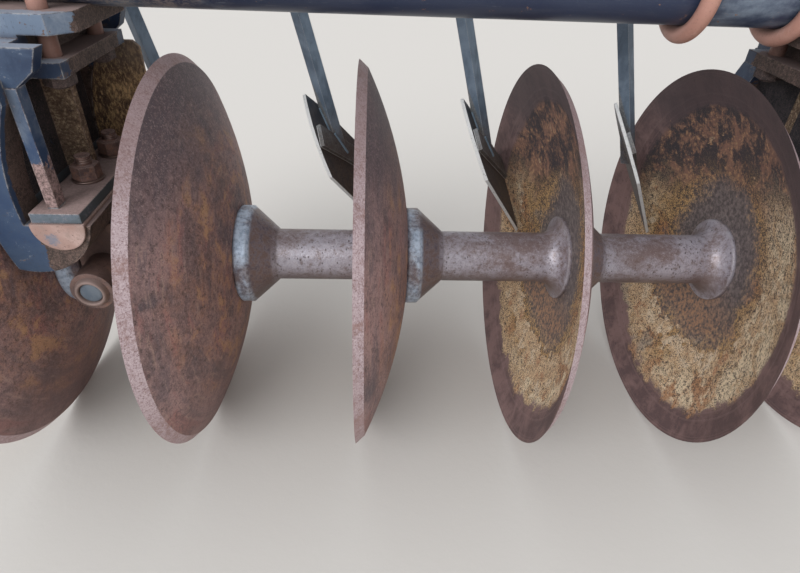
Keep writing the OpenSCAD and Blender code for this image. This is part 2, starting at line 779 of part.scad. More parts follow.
end_washer("left");  // end_washer_left
end_washer("right");  // end_washer_right
end_nut("left");  // end_nut_left
end_nut("right");  // end_nut_right
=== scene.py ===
import math

import bmesh
import bpy
from bpy.props import FloatProperty, FloatVectorProperty, IntProperty, PointerProperty
from mathutils import Euler, Matrix, Vector, noise


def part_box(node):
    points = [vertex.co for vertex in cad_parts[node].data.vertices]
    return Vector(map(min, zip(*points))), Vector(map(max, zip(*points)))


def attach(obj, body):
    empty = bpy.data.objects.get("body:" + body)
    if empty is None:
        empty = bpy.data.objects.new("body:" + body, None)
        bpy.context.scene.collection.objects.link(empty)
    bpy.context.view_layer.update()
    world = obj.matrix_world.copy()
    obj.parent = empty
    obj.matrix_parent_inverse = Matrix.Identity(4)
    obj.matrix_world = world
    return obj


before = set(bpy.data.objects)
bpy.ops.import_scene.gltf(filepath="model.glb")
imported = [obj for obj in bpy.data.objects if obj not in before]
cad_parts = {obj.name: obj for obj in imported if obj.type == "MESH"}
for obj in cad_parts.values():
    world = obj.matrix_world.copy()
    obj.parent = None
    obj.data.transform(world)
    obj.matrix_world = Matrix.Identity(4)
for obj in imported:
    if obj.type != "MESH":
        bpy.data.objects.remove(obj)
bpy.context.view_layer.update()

bl_info = {
    "name": "Disc Harrow Gang",
    "version": (1, 0, 0),
    "blender": (4, 5, 0),
    "location": "3D View > Sidebar > Harrow",
    "description": "Finishes, dried soil and small fittings of a six-disc harrow gang",
    "category": "Add Mesh",
}

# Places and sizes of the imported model, in metres
DISCS = [f"disc_{k}" for k in range(1, 7)]
SIDES = ("left", "right")
RIM_LOW, RIM_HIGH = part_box("disc_1")
AXLE_Z = (RIM_LOW.z + RIM_HIGH.z) / 2
RIM_R = (RIM_HIGH.z - RIM_LOW.z) / 2
RIM_X = [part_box(name)[0].x for name in DISCS]
PITCH = RIM_X[1] - RIM_X[0]
DISH = RIM_HIGH.x - RIM_LOW.x
DISC_T = 0.007
FLAT_R = 0.089
HUB_IN = DISH - DISC_T
BALL_X = (FLAT_R ** 2 + HUB_IN ** 2 - RIM_R ** 2) / (2 * HUB_IN)
BALL_R = math.hypot(RIM_R, BALL_X)
BEAM_LOW, BEAM_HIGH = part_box("beam")
BEAM_Z = (BEAM_LOW.z + BEAM_HIGH.z) / 2
BEAM_R = (BEAM_HIGH.z - BEAM_LOW.z) / 2
BLOCK_Z = AXLE_Z + 0.145
PLATE_TOP = BLOCK_Z + 0.019
BOLT_Y = 0.050
BLOCK_LOW, BLOCK_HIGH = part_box("block_left")
BEARING_X = (BLOCK_LOW.x + BLOCK_HIGH.x) / 2
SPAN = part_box("block_right")[0].x - BLOCK_LOW.x
BOLT_R = 0.011
UBOLT_R = 0.012
BRACKETS = [RIM_X[1] - 0.040, RIM_X[3] + 0.060, RIM_X[5] + 0.035]
BRACKET_T = 0.014
BAR_HALF = 0.0225
BAR_TILT = math.radians(4.8)
BLADE_FROM = (-0.102, 0.178, 0.232)
BLADE_TURN = tuple(math.radians(angle) for angle in (-40.2, 53.2, -58.0))
STRAP_FROM = (0.080, -0.002, 0.0)
STRAP_TURN = math.radians(75.7)
BOSS_Z = AXLE_Z + 0.014
WEB_TOP = AXLE_Z + 0.328
WEB_Y = (0.118, 0.127)
WEB_SEAM_X, WEB_SEAM_Y = -0.036, 0.1165
STUD_FOOT = 0.003
STUD_OUT = 0.0135
CAP_SEAM_IN = -0.0038

# Outlines of the small turned fittings: distance along the axis, radius
CAP_OUTLINE = ((0.0, 0.0172), (0.0042, 0.0172), (0.0052, 0.0160), (0.0060, 0.0120), (0.0063, 0.0))
LIP_OUTLINE = ((0.0, 0.0178), (0.0075, 0.0180), (0.0092, 0.0192), (0.0098, 0.0208),
               (0.0088, 0.0226), (0.0060, 0.0240), (0.0, 0.0262))
WASHER_OUTLINE = ((0.0, 0.0235), (0.0028, 0.0235), (0.0036, 0.0226), (0.0036, 0.0115))

# Outline of the plate behind a hanger's leg: distance to the right of the bearing, height
WEB_OUTLINE = ((-0.049, PLATE_TOP), (0.033, PLATE_TOP), (0.036, PLATE_TOP + 0.030),
               (0.050, PLATE_TOP + 0.080), (0.054, PLATE_TOP + 0.110), (0.054, WEB_TOP - 0.010),
               (0.044, WEB_TOP), (-0.049, WEB_TOP))

# Seams of a scraper, in its strap's frame: shank to strap, strap to blade
SCRAPER_SEAMS = (((0.0515, 0.0205, 0.0082), (0.0930, -0.0070, 0.0082)),
                 ((0.0525, 0.0240, 0.0003), (0.0262, 0.0670, 0.0003)))

# The dried soil: its grid, the radii between which it may lie and where it is thickest
SOIL_RINGS, SOIL_SPOKES = 56, 240
SOIL_INNER, SOIL_OUTER = 0.105, 0.285
SOIL_BAND_R, SOIL_BAND_W = 0.205, 0.038

# The stage
FLOOR_HALF = 20.0
FLOOR_Z = AXLE_Z - RIM_R - 0.0005
LAMP_PLACE = Vector((-2.3, -2.7, 1.4))
LAMP_AIM = Vector((-0.4, 0.0, AXLE_Z))


def rgba(colour):
    """A colour with full opacity."""
    return (*colour, 1.0)


class Value:
    """A shader socket; sums and products of values add their Math nodes."""

    def __init__(self, paint, socket):
        self.paint = paint
        self.socket = socket

    def maths(self, operation, *terms):
        return self.paint.add("ShaderNodeMath", {"operation": operation}, dict(enumerate(terms)))

    def __add__(self, other):
        return self.maths("ADD", self, other)

    def __radd__(self, other):
        return self.maths("ADD", other, self)

    def __sub__(self, other):
        return self.maths("SUBTRACT", self, other)

    def __rsub__(self, other):
        return self.maths("SUBTRACT", other, self)

    def __mul__(self, other):
        return self.maths("MULTIPLY", self, other)

    def __rmul__(self, other):
        return self.maths("MULTIPLY", other, self)

    def __truediv__(self, other):
        return self.maths("DIVIDE", self, other)

    def __rtruediv__(self, other):
        return self.maths("DIVIDE", other, self)

    def __pow__(self, other):
        return self.maths("POWER", self, other)

    def __rpow__(self, other):
        return self.maths("POWER", other, self)

    def __mod__(self, other):
        return self.maths("FLOORED_MODULO", self, other)

    def __rmod__(self, other):
        return self.maths("FLOORED_MODULO", other, self)


class Paint:
    """The node tree of one finish, of the floor or of the sky."""

    def __init__(self, owner):
        owner.use_nodes = True
        self.owner = owner
        self.tree = owner.node_tree
        self.tree.nodes.clear()

    def add(self, kind, settings=None, sockets=None, output=0):
        """Add a node of a type with its settings, then its values and links."""
        node = self.tree.nodes.new(kind)
        for name, setting in (settings or {}).items():
            setattr(node, name, setting)
        for name, value in (sockets or {}).items():
            if isinstance(value, Value):
                self.tree.links.new(value.socket, node.inputs[name])
            else:
                node.inputs[name].default_value = value
        return self.output(node, output) if len(node.outputs) else None

    def output(self, node, name):
        return Value(self, node.outputs[name])

    def place(self):
        return self.add("ShaderNodeTexCoord", output="Object")

    def split(self, vector):
        parts = self.add("ShaderNodeSeparateXYZ", None, {0: vector}).socket.node
        return [self.output(parts, axis) for axis in "XYZ"]

    def seen(self):
        """1 for the camera, mirrors and glass, 0 where a ray only carries light."""
        rays = self.add("ShaderNodeLightPath").socket.node
        kinds = ("Is Camera Ray", "Is Glossy Ray", "Is Transmission Ray")
        camera, glossy, glass = (self.output(rays, kind) for kind in kinds)
        return self.step(camera + glossy + glass, 0.0, 1.0)

    def join(self, x, y, z):
        return self.add("ShaderNodeCombineXYZ", None, {0: x, 1: y, 2: z})

    def stretch(self, vector, factors):
        return self.add("ShaderNodeVectorMath", {"operation": "MULTIPLY"}, {0: vector, 1: factors})

    def facing(self):
        return self.split(self.add("ShaderNodeNewGeometry", output="Normal"))

    def noise(self, place, scale, detail=5.0, roughness=0.6, twist=0.0):
        return self.add("ShaderNodeTexNoise", None, {
            "Vector": place, "Scale": scale, "Detail": detail, "Roughness": roughness,
            "Distortion": twist})

    def lines(self, along, detail=3.0, roughness=0.6):
        return self.add("ShaderNodeTexNoise", {"noise_dimensions": "1D"}, {
            "W": along, "Scale": 1.0, "Detail": detail, "Roughness": roughness})

    def cells(self, place, scale):
        return self.add("ShaderNodeTexVoronoi", None, {
            "Vector": place, "Scale": scale}, "Distance")

    def step(self, value, low, high):
        """0 below low and 1 above high, or the other way round if low is above high."""
        return self.add("ShaderNodeMapRange", {"interpolation_type": "SMOOTHSTEP"}, {
            "Value": value, "From Min": low, "From Max": high})

    def mix(self, mask, under, over):
        """Colour under where the mask is 0, and colour over where it is 1."""
        sockets = {0: mask}
        for index, colour in ((6, under), (7, over)):
            sockets[index] = colour if isinstance(colour, Value) else rgba(colour)
        return self.add("ShaderNodeMix", {"data_type": "RGBA"}, sockets, 2)

    def layers(self, base, *layers):
        """Lay colours over a base, each with a mask, or a value and its two steps, and a share."""
        for *value, share, colour in layers:
            mask = self.step(*value) if len(value) == 3 else value[0]
            base = self.mix(mask if share == 1 else mask * share, base, colour)
        return base

    def rounded(self, radius):
        return self.add("ShaderNodeBevel", {"samples": 4}, {"Radius": radius})

    def edges(self, rounded):
        """1 on the corners of the solid, where wear and rust show first."""
        true = self.add("ShaderNodeNewGeometry", output="True Normal")
        along = self.add("ShaderNodeVectorMath", {"operation": "DOT_PRODUCT"}, {
            0: rounded, 1: true}, "Value")
        return self.step(1 - along, 0.015, 0.16)

    def hollows(self, distance):
        """1 in corners between pieces, where grime collects and shade falls; the colour laid with
        it is grime and painted shade.
        """
        open_sky = self.add("ShaderNodeAmbientOcclusion", {"samples": 4}, {
            "Distance": distance}, "AO")
        return self.step(open_sky, 0.75, 0.25)

    def shade(self, base, roughness, metallic, height, depth, rounded=None, specular=0.5,
              strength=1.0):
        """End the finish with its shader, with a relief of the given depth in metres."""
        relief = {"Height": height, "Distance": depth, "Strength": strength}
        if rounded:
            relief["Normal"] = rounded
        shader = self.add("ShaderNodeBsdfPrincipled", None, {
            "Base Color": base, "Roughness": roughness, "Metallic": metallic,
            "Specular IOR Level": specular, "Normal": self.add("ShaderNodeBump", None, relief)})
        self.add("ShaderNodeOutputMaterial", None, {"Surface": shader})
        return self.owner


def finish(name):
    return Paint(bpy.data.materials.new(name))


def colour_property(name, description, value):
    return FloatVectorProperty(
        name=name, description=description, default=value, subtype="COLOR", size=3, min=0, max=1)


class StageSettings(bpy.types.PropertyGroup):
    camera_place: FloatVectorProperty(
        name="Camera Place", description="Where the camera stands",
        default=(-0.5036, -0.8601, 0.0165), subtype="TRANSLATION", size=3)
    camera_yaw: FloatProperty(
        name="Yaw", description="Turn of the camera to the right of straight ahead",
        default=0.058, subtype="ANGLE")
    camera_pitch: FloatProperty(
        name="Pitch", description="Downward tilt of the camera", default=0.622, subtype="ANGLE")
    camera_roll: FloatProperty(
        name="Roll", description="Turn of the camera about its own axis",
        default=0.045, subtype="ANGLE")
    lens: FloatProperty(
        name="Lens", description="Focal length", default=25.164, min=5, max=200,
        unit="CAMERA")
    floor_colour: colour_property("Floor", "Colour of the floor", (0.57, 0.555, 0.535))
    bounce_colour: colour_property(
        "Floor Bounce", "Colour of the light that the floor throws back", (0.60, 0.56, 0.51))
    sky_high: colour_property("Sky Overhead", "Light from overhead", (1.0, 1.0, 1.0))
    sky_low: colour_property("Sky Around", "Light from the sides", (0.92, 0.92, 0.93))
    lamp_strength: FloatProperty(
        name="Lamp", description="Strength of the soft distant lamp", default=2.0, min=0)
    lamp_angle: FloatProperty(
        name="Lamp Width", description="Angle that the lamp fills, which softens its shadows",
        default=math.radians(42.0), min=0, subtype="ANGLE")


class FinishSettings(bpy.types.PropertyGroup):
    rust: colour_property("Rust", "Main colour of the discs", (0.385, 0.245, 0.238))
    rust_dark: colour_property("Dark Rust", "Stains and old rust", (0.165, 0.112, 0.114))
    rust_warm: colour_property("Fresh Rust", "Orange-brown rust", (0.36, 0.175, 0.105))
    ground_edge: colour_property("Ground Edge", "The discs' bevelled edge", (0.50, 0.40, 0.43))
    soil: colour_property("Dried Soil", "Soil dried onto the discs", (0.72, 0.54, 0.35))
    cast: colour_property("Cast Iron", "Rubbed cast iron of the spools", (0.375, 0.360, 0.425))
    paint_blue: colour_property("Blue Paint", "Paint of the hangers", (0.026, 0.055, 0.122))
    paint_navy: colour_property("Navy Paint", "Paint of the beam", (0.030, 0.043, 0.088))
    paint_red: colour_property("Red Paint", "Primer on the U-bolts", (0.44, 0.235, 0.19))
    bare: colour_property("Bare Steel", "Rubbed edges", (0.50, 0.51, 0.52))


class FittingSettings(bpy.types.PropertyGroup):
    soil_height: FloatProperty(
        name="Soil Height", description="Thickest soil on the discs", default=0.0022,
        min=0.0005, max=0.004, unit="LENGTH", precision=4)
    thread_pitch: FloatProperty(
        name="Thread Pitch", description="Distance between two turns of a thread",
        default=0.003, min=0.001, max=0.006, unit="LENGTH", precision=4)
    thread_height: FloatProperty(
        name="Thread Height", description="Height of a thread above the bolt",
        default=0.001, min=0.0003, max=0.0015, unit="LENGTH", precision=4)
    bead: FloatProperty(
        name="Weld Bead", description="Radius of a weld bead", default=0.0045,
        min=0.002, max=0.008, unit="LENGTH", precision=4)
    seed: IntProperty(name="Seed", description="Seed of what is strewn by chance", default=7)


def disc_steel(look):
    """Rusted disc: mottled outside, ground edge, soil-stained hollow side."""
    p = finish("disc_steel")
    place = p.place()
    y, z = p.split(place)[1:]
    up = z - AXLE_Z
    radius = (y * y + up * up) ** 0.5
    hollow = p.step(p.facing()[0], 0.02, -0.02)
    clouds = p.noise(place, 4.5, 6.0, 0.62, 0.6)
    blotches = p.noise(place, 20.0, 7.0, 0.70, 0.4)
    grain = p.noise(place, 130.0, 6.0, 0.78)
    fine = p.noise(place, 420.0, 4.0, 0.8)
    rings = p.lines(radius * 240.0 + clouds * 3.0 + blotches * 1.5)
    around = p.join(radius * 26.0, y / radius * 1.7, up / radius * 1.7)
    bands = p.noise(around, 1.0, 6.0, 0.66, 0.4)
    streaks = p.noise(p.stretch(around, (5.0, 2.4, 2.4)), 1.0, 5.0, 0.68)
    # Outside: mauve-brown rust with a warm middle, blue-grey stains, a dark tip and streaks
    # that working soil has drawn round the disc
    outer = p.mix(p.step(clouds * 0.6 + blotches * 0.5 + (grain - 0.5) * 0.3, 0.42, 0.64),
                  look.rust_dark, look.rust)
    warm = p.step(radius + (clouds - 0.5) * 0.25, 0.29, 0.20) * p.step(blotches, 0.40, 0.64)
    cold = p.step(blotches * 0.6 + clouds * 0.7, 0.58, 0.50) * p.step(radius, 0.20, 0.26)
    gilt = p.step(radius, 0.28, 0.21) * p.step(blotches + (bands - 0.5) * 0.8, 0.54, 0.68)
    tip = p.step(up + (clouds - 0.5) * 0.20, 0.11, 0.30)
    low = p.step(up + (clouds - 0.5) * 0.2, -0.04, -0.24)
    ground = p.step(radius + (grain - 0.5) * 0.0012, RIM_R - 0.0138, RIM_R - 0.0126)
    edge = p.mix(p.step(grain + (blotches - 0.5) * 0.6, 0.44, 0.68), look.ground_edge,
                 (0.32, 0.215, 0.215))
    edge = p.layers(
        edge,
        (fine, 0.55, 0.63, 0.75, (0.66, 0.57, 0.60)),
        (fine, 0.47, 0.40, 0.8, (0.20, 0.120, 0.125)),
        (blotches, 0.55, 0.68, 0.45, (0.36, 0.225, 0.205)),
        (up + (clouds - 0.5) * 0.15, 0.02, -0.25, 0.45, (0.30, 0.19, 0.19)),
        (up + (clouds - 0.5) * 0.15, 0.20, 0.29, 0.60, (0.20, 0.125, 0.120)))
    outer = p.layers(
        outer,
        (warm, 0.55, look.rust_warm),
        (cold, 0.55, (0.125, 0.105, 0.125)),
        (bands, 0.52, 0.64, 0.60, (0.40, 0.175, 0.160)),
        (bands, 0.47, 0.38, 0.55, (0.130, 0.105, 0.125)),
        (streaks, 0.54, 0.68, 0.50, (0.50, 0.345, 0.285)),
        (streaks, 0.46, 0.34, 0.50, (0.145, 0.088, 0.090)),
        (gilt, 0.70, (0.56, 0.330, 0.170)),
        (tip, 0.90, (0.074, 0.061, 0.076)),
        (grain, 0.52, 0.66, 0.45, (0.36, 0.25, 0.24)),
        (grain, 0.48, 0.36, 0.75, (0.080, 0.054, 0.056)),
        (fine, 0.56, 0.64, 0.50, (0.52, 0.390, 0.365)),
        (fine, 0.45, 0.38, 0.6, (0.070, 0.048, 0.052)),
        (low, 0.60, (0.165, 0.098, 0.094)),
        (ground, 1, edge))
    # Hollow side: grey-brown round the spool, a speckled ring of sand, paler near the front,
    # a smooth rim and a dark top
    wander = radius + (clouds - 0.5) * 0.13 + (blotches - 0.5) * 0.07
    below = p.step(up + (blotches - 0.5) * 0.1, -0.01, -0.10)
    reach = wander - p.step(up, 0.04, 0.15) * 0.022 - below * 0.040
    inner = p.mix(p.step(grain, 0.40, 0.64), (0.085, 0.070, 0.073), (0.235, 0.195, 0.190))
    hub_rust = below * p.step(wander, 0.175, 0.135)
    near = p.step(y + (clouds - 0.5) * 0.2, 0.02, -0.14)
    gold = p.mix(p.step(reach + near * 0.04, 0.17, 0.23), (0.60, 0.385, 0.175), look.soil)
    sand = p.mix(p.step(fine, 0.42, 0.58), (0.35, 0.215, 0.115), gold)
    pale = p.step(reach, 0.150, 0.205) * (0.35 + near * 0.65)
    pitted = p.step(fine + (grain - 0.5) * 0.75 + p.step(up, 0.0, 0.16) * -0.025
                    - p.step(reach, 0.205, 0.145) * 0.035 + near * 0.010, 0.478, 0.448)
    sand = p.layers(
        sand,
        (p.step(blotches + near * 0.06, 0.50, 0.60) * pale, 0.9, (0.80, 0.67, 0.48)),
        (p.noise(place, 9.0, 5.0, 0.6), 0.58, 0.66, 0.6, (0.36, 0.320, 0.285)),
        (p.step(clouds, 0.50, 0.40) * p.step(blotches, 0.60, 0.44), 0.75, (0.46, 0.225, 0.115)),
        (pitted, 0.95, (0.062, 0.046, 0.046)))
    # Towards the top the sand thins out to grains on dark, lumpy rust
    thin = p.step(up + y * 0.35 + (clouds - 0.5) * 0.20 + (blotches - 0.5) * 0.12
                  + (grain - 0.5) * 0.10, 0.085, 0.200)
    lumps = p.mix(p.step(blotches + (grain - 0.5) * 0.5, 0.43, 0.60), (0.060, 0.050, 0.058),
                  (0.275, 0.150, 0.112))
    lumps = p.mix(p.step(grain, 0.54, 0.60) * p.step(blotches, 0.40, 0.58) * 0.85, lumps,
                  (0.50, 0.305, 0.165))
    lumps = p.mix(p.step(fine, 0.60, 0.66) * 0.6, lumps, (0.52, 0.40, 0.27))
    rim = p.mix(p.step(blotches + (clouds - 0.5) * 0.5, 0.38, 0.62), (0.120, 0.076, 0.078),
                (0.225, 0.142, 0.138))
    rim = p.layers(
        rim,
        (rings, 0.52, 0.72, 0.25, (0.30, 0.20, 0.19)),
        (up + (clouds - 0.5) * 0.2, 0.12, 0.25, 0.78, (0.072, 0.053, 0.060)),
        (grain, 0.44, 0.34, 0.6, (0.060, 0.040, 0.042)))
    shore = radius + (clouds - 0.5) * 0.05 + (blotches - 0.5) * 0.02 + (grain - 0.5) * 0.02
    shore = shore + (blotches - 0.5) * p.step(up, -0.05, -0.20) * 0.08
    inner = p.layers(
        inner,
        (fine, 0.58, 0.66, 0.5, (0.34, 0.27, 0.22)),
        (hub_rust * p.step(grain, 0.42, 0.58), 0.85, (0.40, 0.220, 0.120)),
        (reach + (grain - 0.5) * 0.16 + (fine - 0.5) * 0.10, 0.110, 0.150, 1, sand),
        (thin * p.step(radius, 0.13, 0.17), 1, lumps),
        (shore, 0.268, 0.280, 1, rim))
    base = p.mix(hollow, outer, inner)
    crusted = p.step(reach, 0.120, 0.140) * p.step(shore, 0.280, 0.268) * hollow
    roughness = 0.52 + grain * 0.25 + crusted * 0.2 - p.step(rings, 0.55, 0.75) * 0.05
    height = grain * 0.5 + blotches * 0.25 + fine * 0.25 + crusted * (0.35 - pitted * 0.3)
    return p.shade(base, roughness, 0.10, height, 0.0012, None, 0.42, 0.85)


def dried_soil(look):
    """Sandy crust that has dried on the hollow sides, pitted down to dark rust."""
    p = finish("dried_soil")
    place = p.place()
    up = p.split(place)[2] - AXLE_Z
    blotches = p.noise(place, 26.0, 6.0, 0.7)
    grain = p.noise(place, 150.0, 6.0, 0.78)
    fine = p.noise(place, 420.0, 4.0, 0.8)
    base = p.mix(p.step(fine, 0.40, 0.60), (0.36, 0.225, 0.130), look.soil)
    base = p.layers(
        base,
        (blotches, 0.50, 0.62, 0.75, (0.70, 0.585, 0.44)),
        (blotches, 0.46, 0.36, 0.7, (0.40, 0.19, 0.105)),
        (up, 0.10, 0.20, 0.6, (0.24, 0.130, 0.085)),
        (fine + (grain - 0.5) * 0.75, 0.465, 0.435, 0.95, (0.070, 0.052, 0.052)))
    return p.shade(base, 0.93, 0.0, grain * 0.6 + fine * 0.4, 0.0016, None, 0.25)


def cast_spool(look):
    """Rough cast iron rubbed by soil, with pale blue paint on the rims of the bells."""
    p = finish("cast_spool")
    place = p.place()
    x, y, z = p.split(place)
    up = z - AXLE_Z
    radius = (y * y + up * up) ** 0.5
    behind = (x - (RIM_X[0] + DISH)) % PITCH
    clouds = p.noise(place, 10.0, 6.0, 0.65, 0.4)
    grain = p.noise(place, 120.0, 6.0, 0.74)
    fine = p.noise(place, 460.0, 3.0, 0.75)
    pits = p.cells(place, 200.0)
    rounded = p.rounded(0.006)
    worn = p.edges(rounded)
    base = p.mix(p.step(clouds * 0.7 + grain * 0.3, 0.38, 0.60), (0.190, 0.138, 0.138), look.cast)
    nicks = p.step(p.cells(p.stretch(place, (1.6, 1.0, 1.0)), 95.0), 0.24, 0.12)
    cone = p.step(behind, 0.070, 0.055) * p.step(radius, 0.050, 0.056)
    on_rim = p.step(behind, 0.0285, 0.0235) * p.step(radius, 0.062, 0.069)
    paint = on_rim * p.step(clouds + grain * 0.35, 0.50, 0.72)
    base = p.layers(
        base,
        (grain, 0.47, 0.37, 0.6, (0.135, 0.095, 0.090)),
        (grain + clouds * 0.4, 0.74, 0.88, 0.5, (0.44, 0.40, 0.435)),
        (fine, 0.58, 0.66, 0.5, (0.52, 0.47, 0.49)),
        (fine, 0.44, 0.36, 0.5, (0.125, 0.085, 0.080)),
        (clouds, 0.66, 0.76, 0.5, (0.36, 0.20, 0.125)),
        (nicks * p.step(clouds, 0.44, 0.54), 0.85, (0.066, 0.048, 0.050)),
        (cone * p.step(grain + clouds * 0.5, 0.66, 0.84), 0.85, (0.170, 0.105, 0.085)),
        (cone * p.step(grain, 0.50, 0.42), 0.6, (0.120, 0.105, 0.140)),
        # Painted shade: faces turned downwards are darker
        (p.facing()[2], 0.15, -0.65, 0.70, (0.120, 0.080, 0.072)),
        (paint, 0.92, p.mix(p.step(grain, 0.36, 0.60), (0.27, 0.36, 0.50), (0.54, 0.65, 0.80))),
        (worn, 0.4, (0.44, 0.41, 0.44)))
    roughness = 0.27 + grain * 0.22 - paint * 0.03
    height = grain * 0.5 + p.step(pits, 0.0, 0.55) * 0.3 + fine * 0.2
    return p.shade(base, roughness, 0.25, height, 0.0008, rounded, 0.75, 0.75)


def turned_steel(look):
    """Bearing journals: fine turning marks under thin stains."""
    p = finish("journal_steel")
    place = p.place()
    turning = p.lines(p.split(place)[0] * 1600.0)
    stains = p.noise(place, 40.0, 6.0, 0.7)
    base = p.mix(p.step(stains, 0.42, 0.64), look.bare, (0.17, 0.11, 0.09))
    base = p.mix(p.step(turning, 0.5, 0.7) * 0.4, base, (0.24, 0.22, 0.22))
    return p.shade(base, 0.34 + stains * 0.3, 0.75, turning, 0.0002, p.rounded(0.001))


def rusty_bolt(look):
    """Nuts, bolts and washers: dark scaly rust, rubbed corners."""
    p = finish("rusty_bolt")
    place = p.place()
    blotches = p.noise(place, 35.0, 6.0, 0.7)
    grain = p.noise(place, 260.0, 6.0, 0.75)
    rounded = p.rounded(0.0022)
    worn = p.edges(rounded)
    base = p.mix(p.step(blotches, 0.36, 0.60), (0.105, 0.068, 0.066), (0.245, 0.150, 0.130))
    base = p.layers(
        base,
        (grain + blotches * 0.4, 0.70, 0.86, 0.6, look.rust_warm),
        (grain, 0.44, 0.32, 1, (0.055, 0.040, 0.040)),
        # Painted sky light: faces turned upwards are paler
        (p.step(p.facing()[2], 0.5, 0.9) * p.step(grain, 0.36, 0.56), 0.6, (0.36, 0.255, 0.235)),
        (worn * p.step(grain, 0.36, 0.56), 0.7, (0.42, 0.33, 0.31)))
    roughness = 0.58 + grain * 0.3 - worn * 0.1
    return p.shade(base, roughness, 0.15, grain * 0.6 + blotches * 0.4, 0.0009, rounded, 0.45, 0.8)


def flaked_paint(p, look, colour, fade, top, rust_share, edge_wear, bared=0.0,
                 tones=((0.095, 0.060, 0.050), (0.270, 0.160, 0.120)), radius=0.003):
    """Old paint: weathered paler in clouds, chipped to rust, scuffed pale, rubbed pale along edges,
    and pale on faces turned upwards from painted sky light.

    The mask bared is 1 where the paint is gone and rust of the two tones shows.
    """
    place = p.place()
    clouds = p.noise(place, 8.0, 5.0, 0.6, 0.5)
    blotches = p.noise(place, 34.0, 6.0, 0.72, 0.8)
    grain = p.noise(place, 240.0, 6.0, 0.75)
    fine = p.noise(place, 700.0, 3.0, 0.7)
    runs = p.noise(p.stretch(place, (60.0, 60.0, 7.0)), 1.0, 5.0, 0.65)
    rounded = p.rounded(radius)
    worn = p.edges(rounded)
    # Corner mask: real grime, and painted shade where less light reaches
    dirt_and_shade = p.hollows(0.03)
    # sky is 1 on faces turned upwards: the top colour laid there is painted sky light, a painted
    # highlight
    sky = p.step(p.facing()[2], 0.35, 0.95)
    coat = p.mix(p.step(clouds + (blotches - 0.5) * 0.5, 0.46, 0.66) * 0.6, colour, fade)
    coat = p.layers(
        coat,
        (runs, 0.58, 0.74, 0.4, fade),
        (sky * (0.45 + grain * 0.55), 1, top),
        (grain, 0.43, 0.33, 0.5, (0.045, 0.042, 0.050)))
    chip = p.step(blotches + (grain - 0.5) * 0.35 + worn * edge_wear * 0.26 + dirt_and_shade * 0.06
                  + bared * 0.5, 0.74 - rust_share, 0.77 - rust_share)
    rust = p.mix(p.step(grain + (blotches - 0.5) * 0.6, 0.38, 0.64), *tones)
    rust = p.layers(
        rust,
        (fine, 0.56, 0.66, 0.35, (0.46, 0.34, 0.27)),
        (grain, 0.42, 0.32, 0.8, (0.050, 0.036, 0.033)),
        # Painted sky light: the rust on faces turned upwards is painted paler
        (sky, 0.6, (0.38, 0.285, 0.275)))
    base = p.mix(chip, coat, rust)
    scuffs = p.step(blotches + (grain - 0.5) * 0.8, 0.60, 0.66) * p.step(clouds, 0.46, 0.60)
    rubbed = worn * p.step(blotches * 1.3 + grain * 0.4, 0.76, 0.96) * edge_wear
    base = p.layers(
        base,
        (scuffs * (1 - chip) * (1 - bared), 0.35, top),
        (rubbed, 0.8, p.mix(bared, look.bare, (0.40, 0.30, 0.27))),
        # Corners darkened: grime and painted shade
        (dirt_and_shade, 0.55, (0.085, 0.062, 0.054)))
    roughness = 0.42 + grain * 0.16 + chip * 0.28 + dirt_and_shade * 0.1 - rubbed * 0.1
    height = grain * (0.12 + chip * 0.5) - chip * 0.45 + clouds * 0.15
    return p.shade(base, roughness, 0.05, height, 0.0008, rounded, 0.5, 0.8)


def beside_bearing(x):
    """Distance to the right of the nearer bearing."""
    return (x - BEARING_X + SPAN / 2) % SPAN - SPAN / 2


def hanger_paint(look):
    """Blue castings, rusted on their inner and right-hand parts and under the bearing."""
    p = finish("hanger_paint")
    place = p.place()
    x, y, z = p.split(place)
    up = z - AXLE_Z
    along = (y * y) ** 0.5
    ragged = (p.noise(place, 22.0, 5.0, 0.7) - 0.5) * 0.05
    right = p.step(beside_bearing(x) + ragged, -0.036, -0.022)
    cradle = right * p.step(up, 0.245, 0.205)
    head = p.step(up, 0.30, 0.32) * p.step(along + ragged * 0.8, 0.092, 0.074)
    sides = p.step(p.facing()[0], 0.5, 0.8) * p.step(along, 0.158, 0.148) * p.step(up, 0.33, 0.30)
    inside = p.step(along, 0.119, 0.113) * p.step(up, 0.30, 0.28)
    bared = 1 - (1 - cradle) * (1 - head) * (1 - sides) * (1 - inside * 0.7)
    lug = p.step(up, 0.372, 0.384)
    # Painted shade of the beam: darker from about 0.27 m above the axle upwards
    coat = p.mix(p.step(up, 0.27, 0.31), look.paint_blue, (0.014, 0.032, 0.078))
    coat = p.mix(p.step(ragged + up, 0.12, 0.06) * 0.6, coat, (0.018, 0.034, 0.062))
    # The upper lug is painted paler in both its colours: a painted highlight of the light from
    # above
    coat = p.mix(lug, coat, (0.130, 0.180, 0.260))
    faded_and_painted_light = p.mix(lug, (0.048, 0.082, 0.145), (0.300, 0.345, 0.420))
    # The third colour, (0.29, 0.325, 0.39), is painted sky light on faces turned upwards
    return flaked_paint(p, look, coat, faded_and_painted_light, (0.29, 0.325, 0.39), 0.115, 1.0, bared,
                        ((0.046, 0.032, 0.029), (0.130, 0.086, 0.074)))


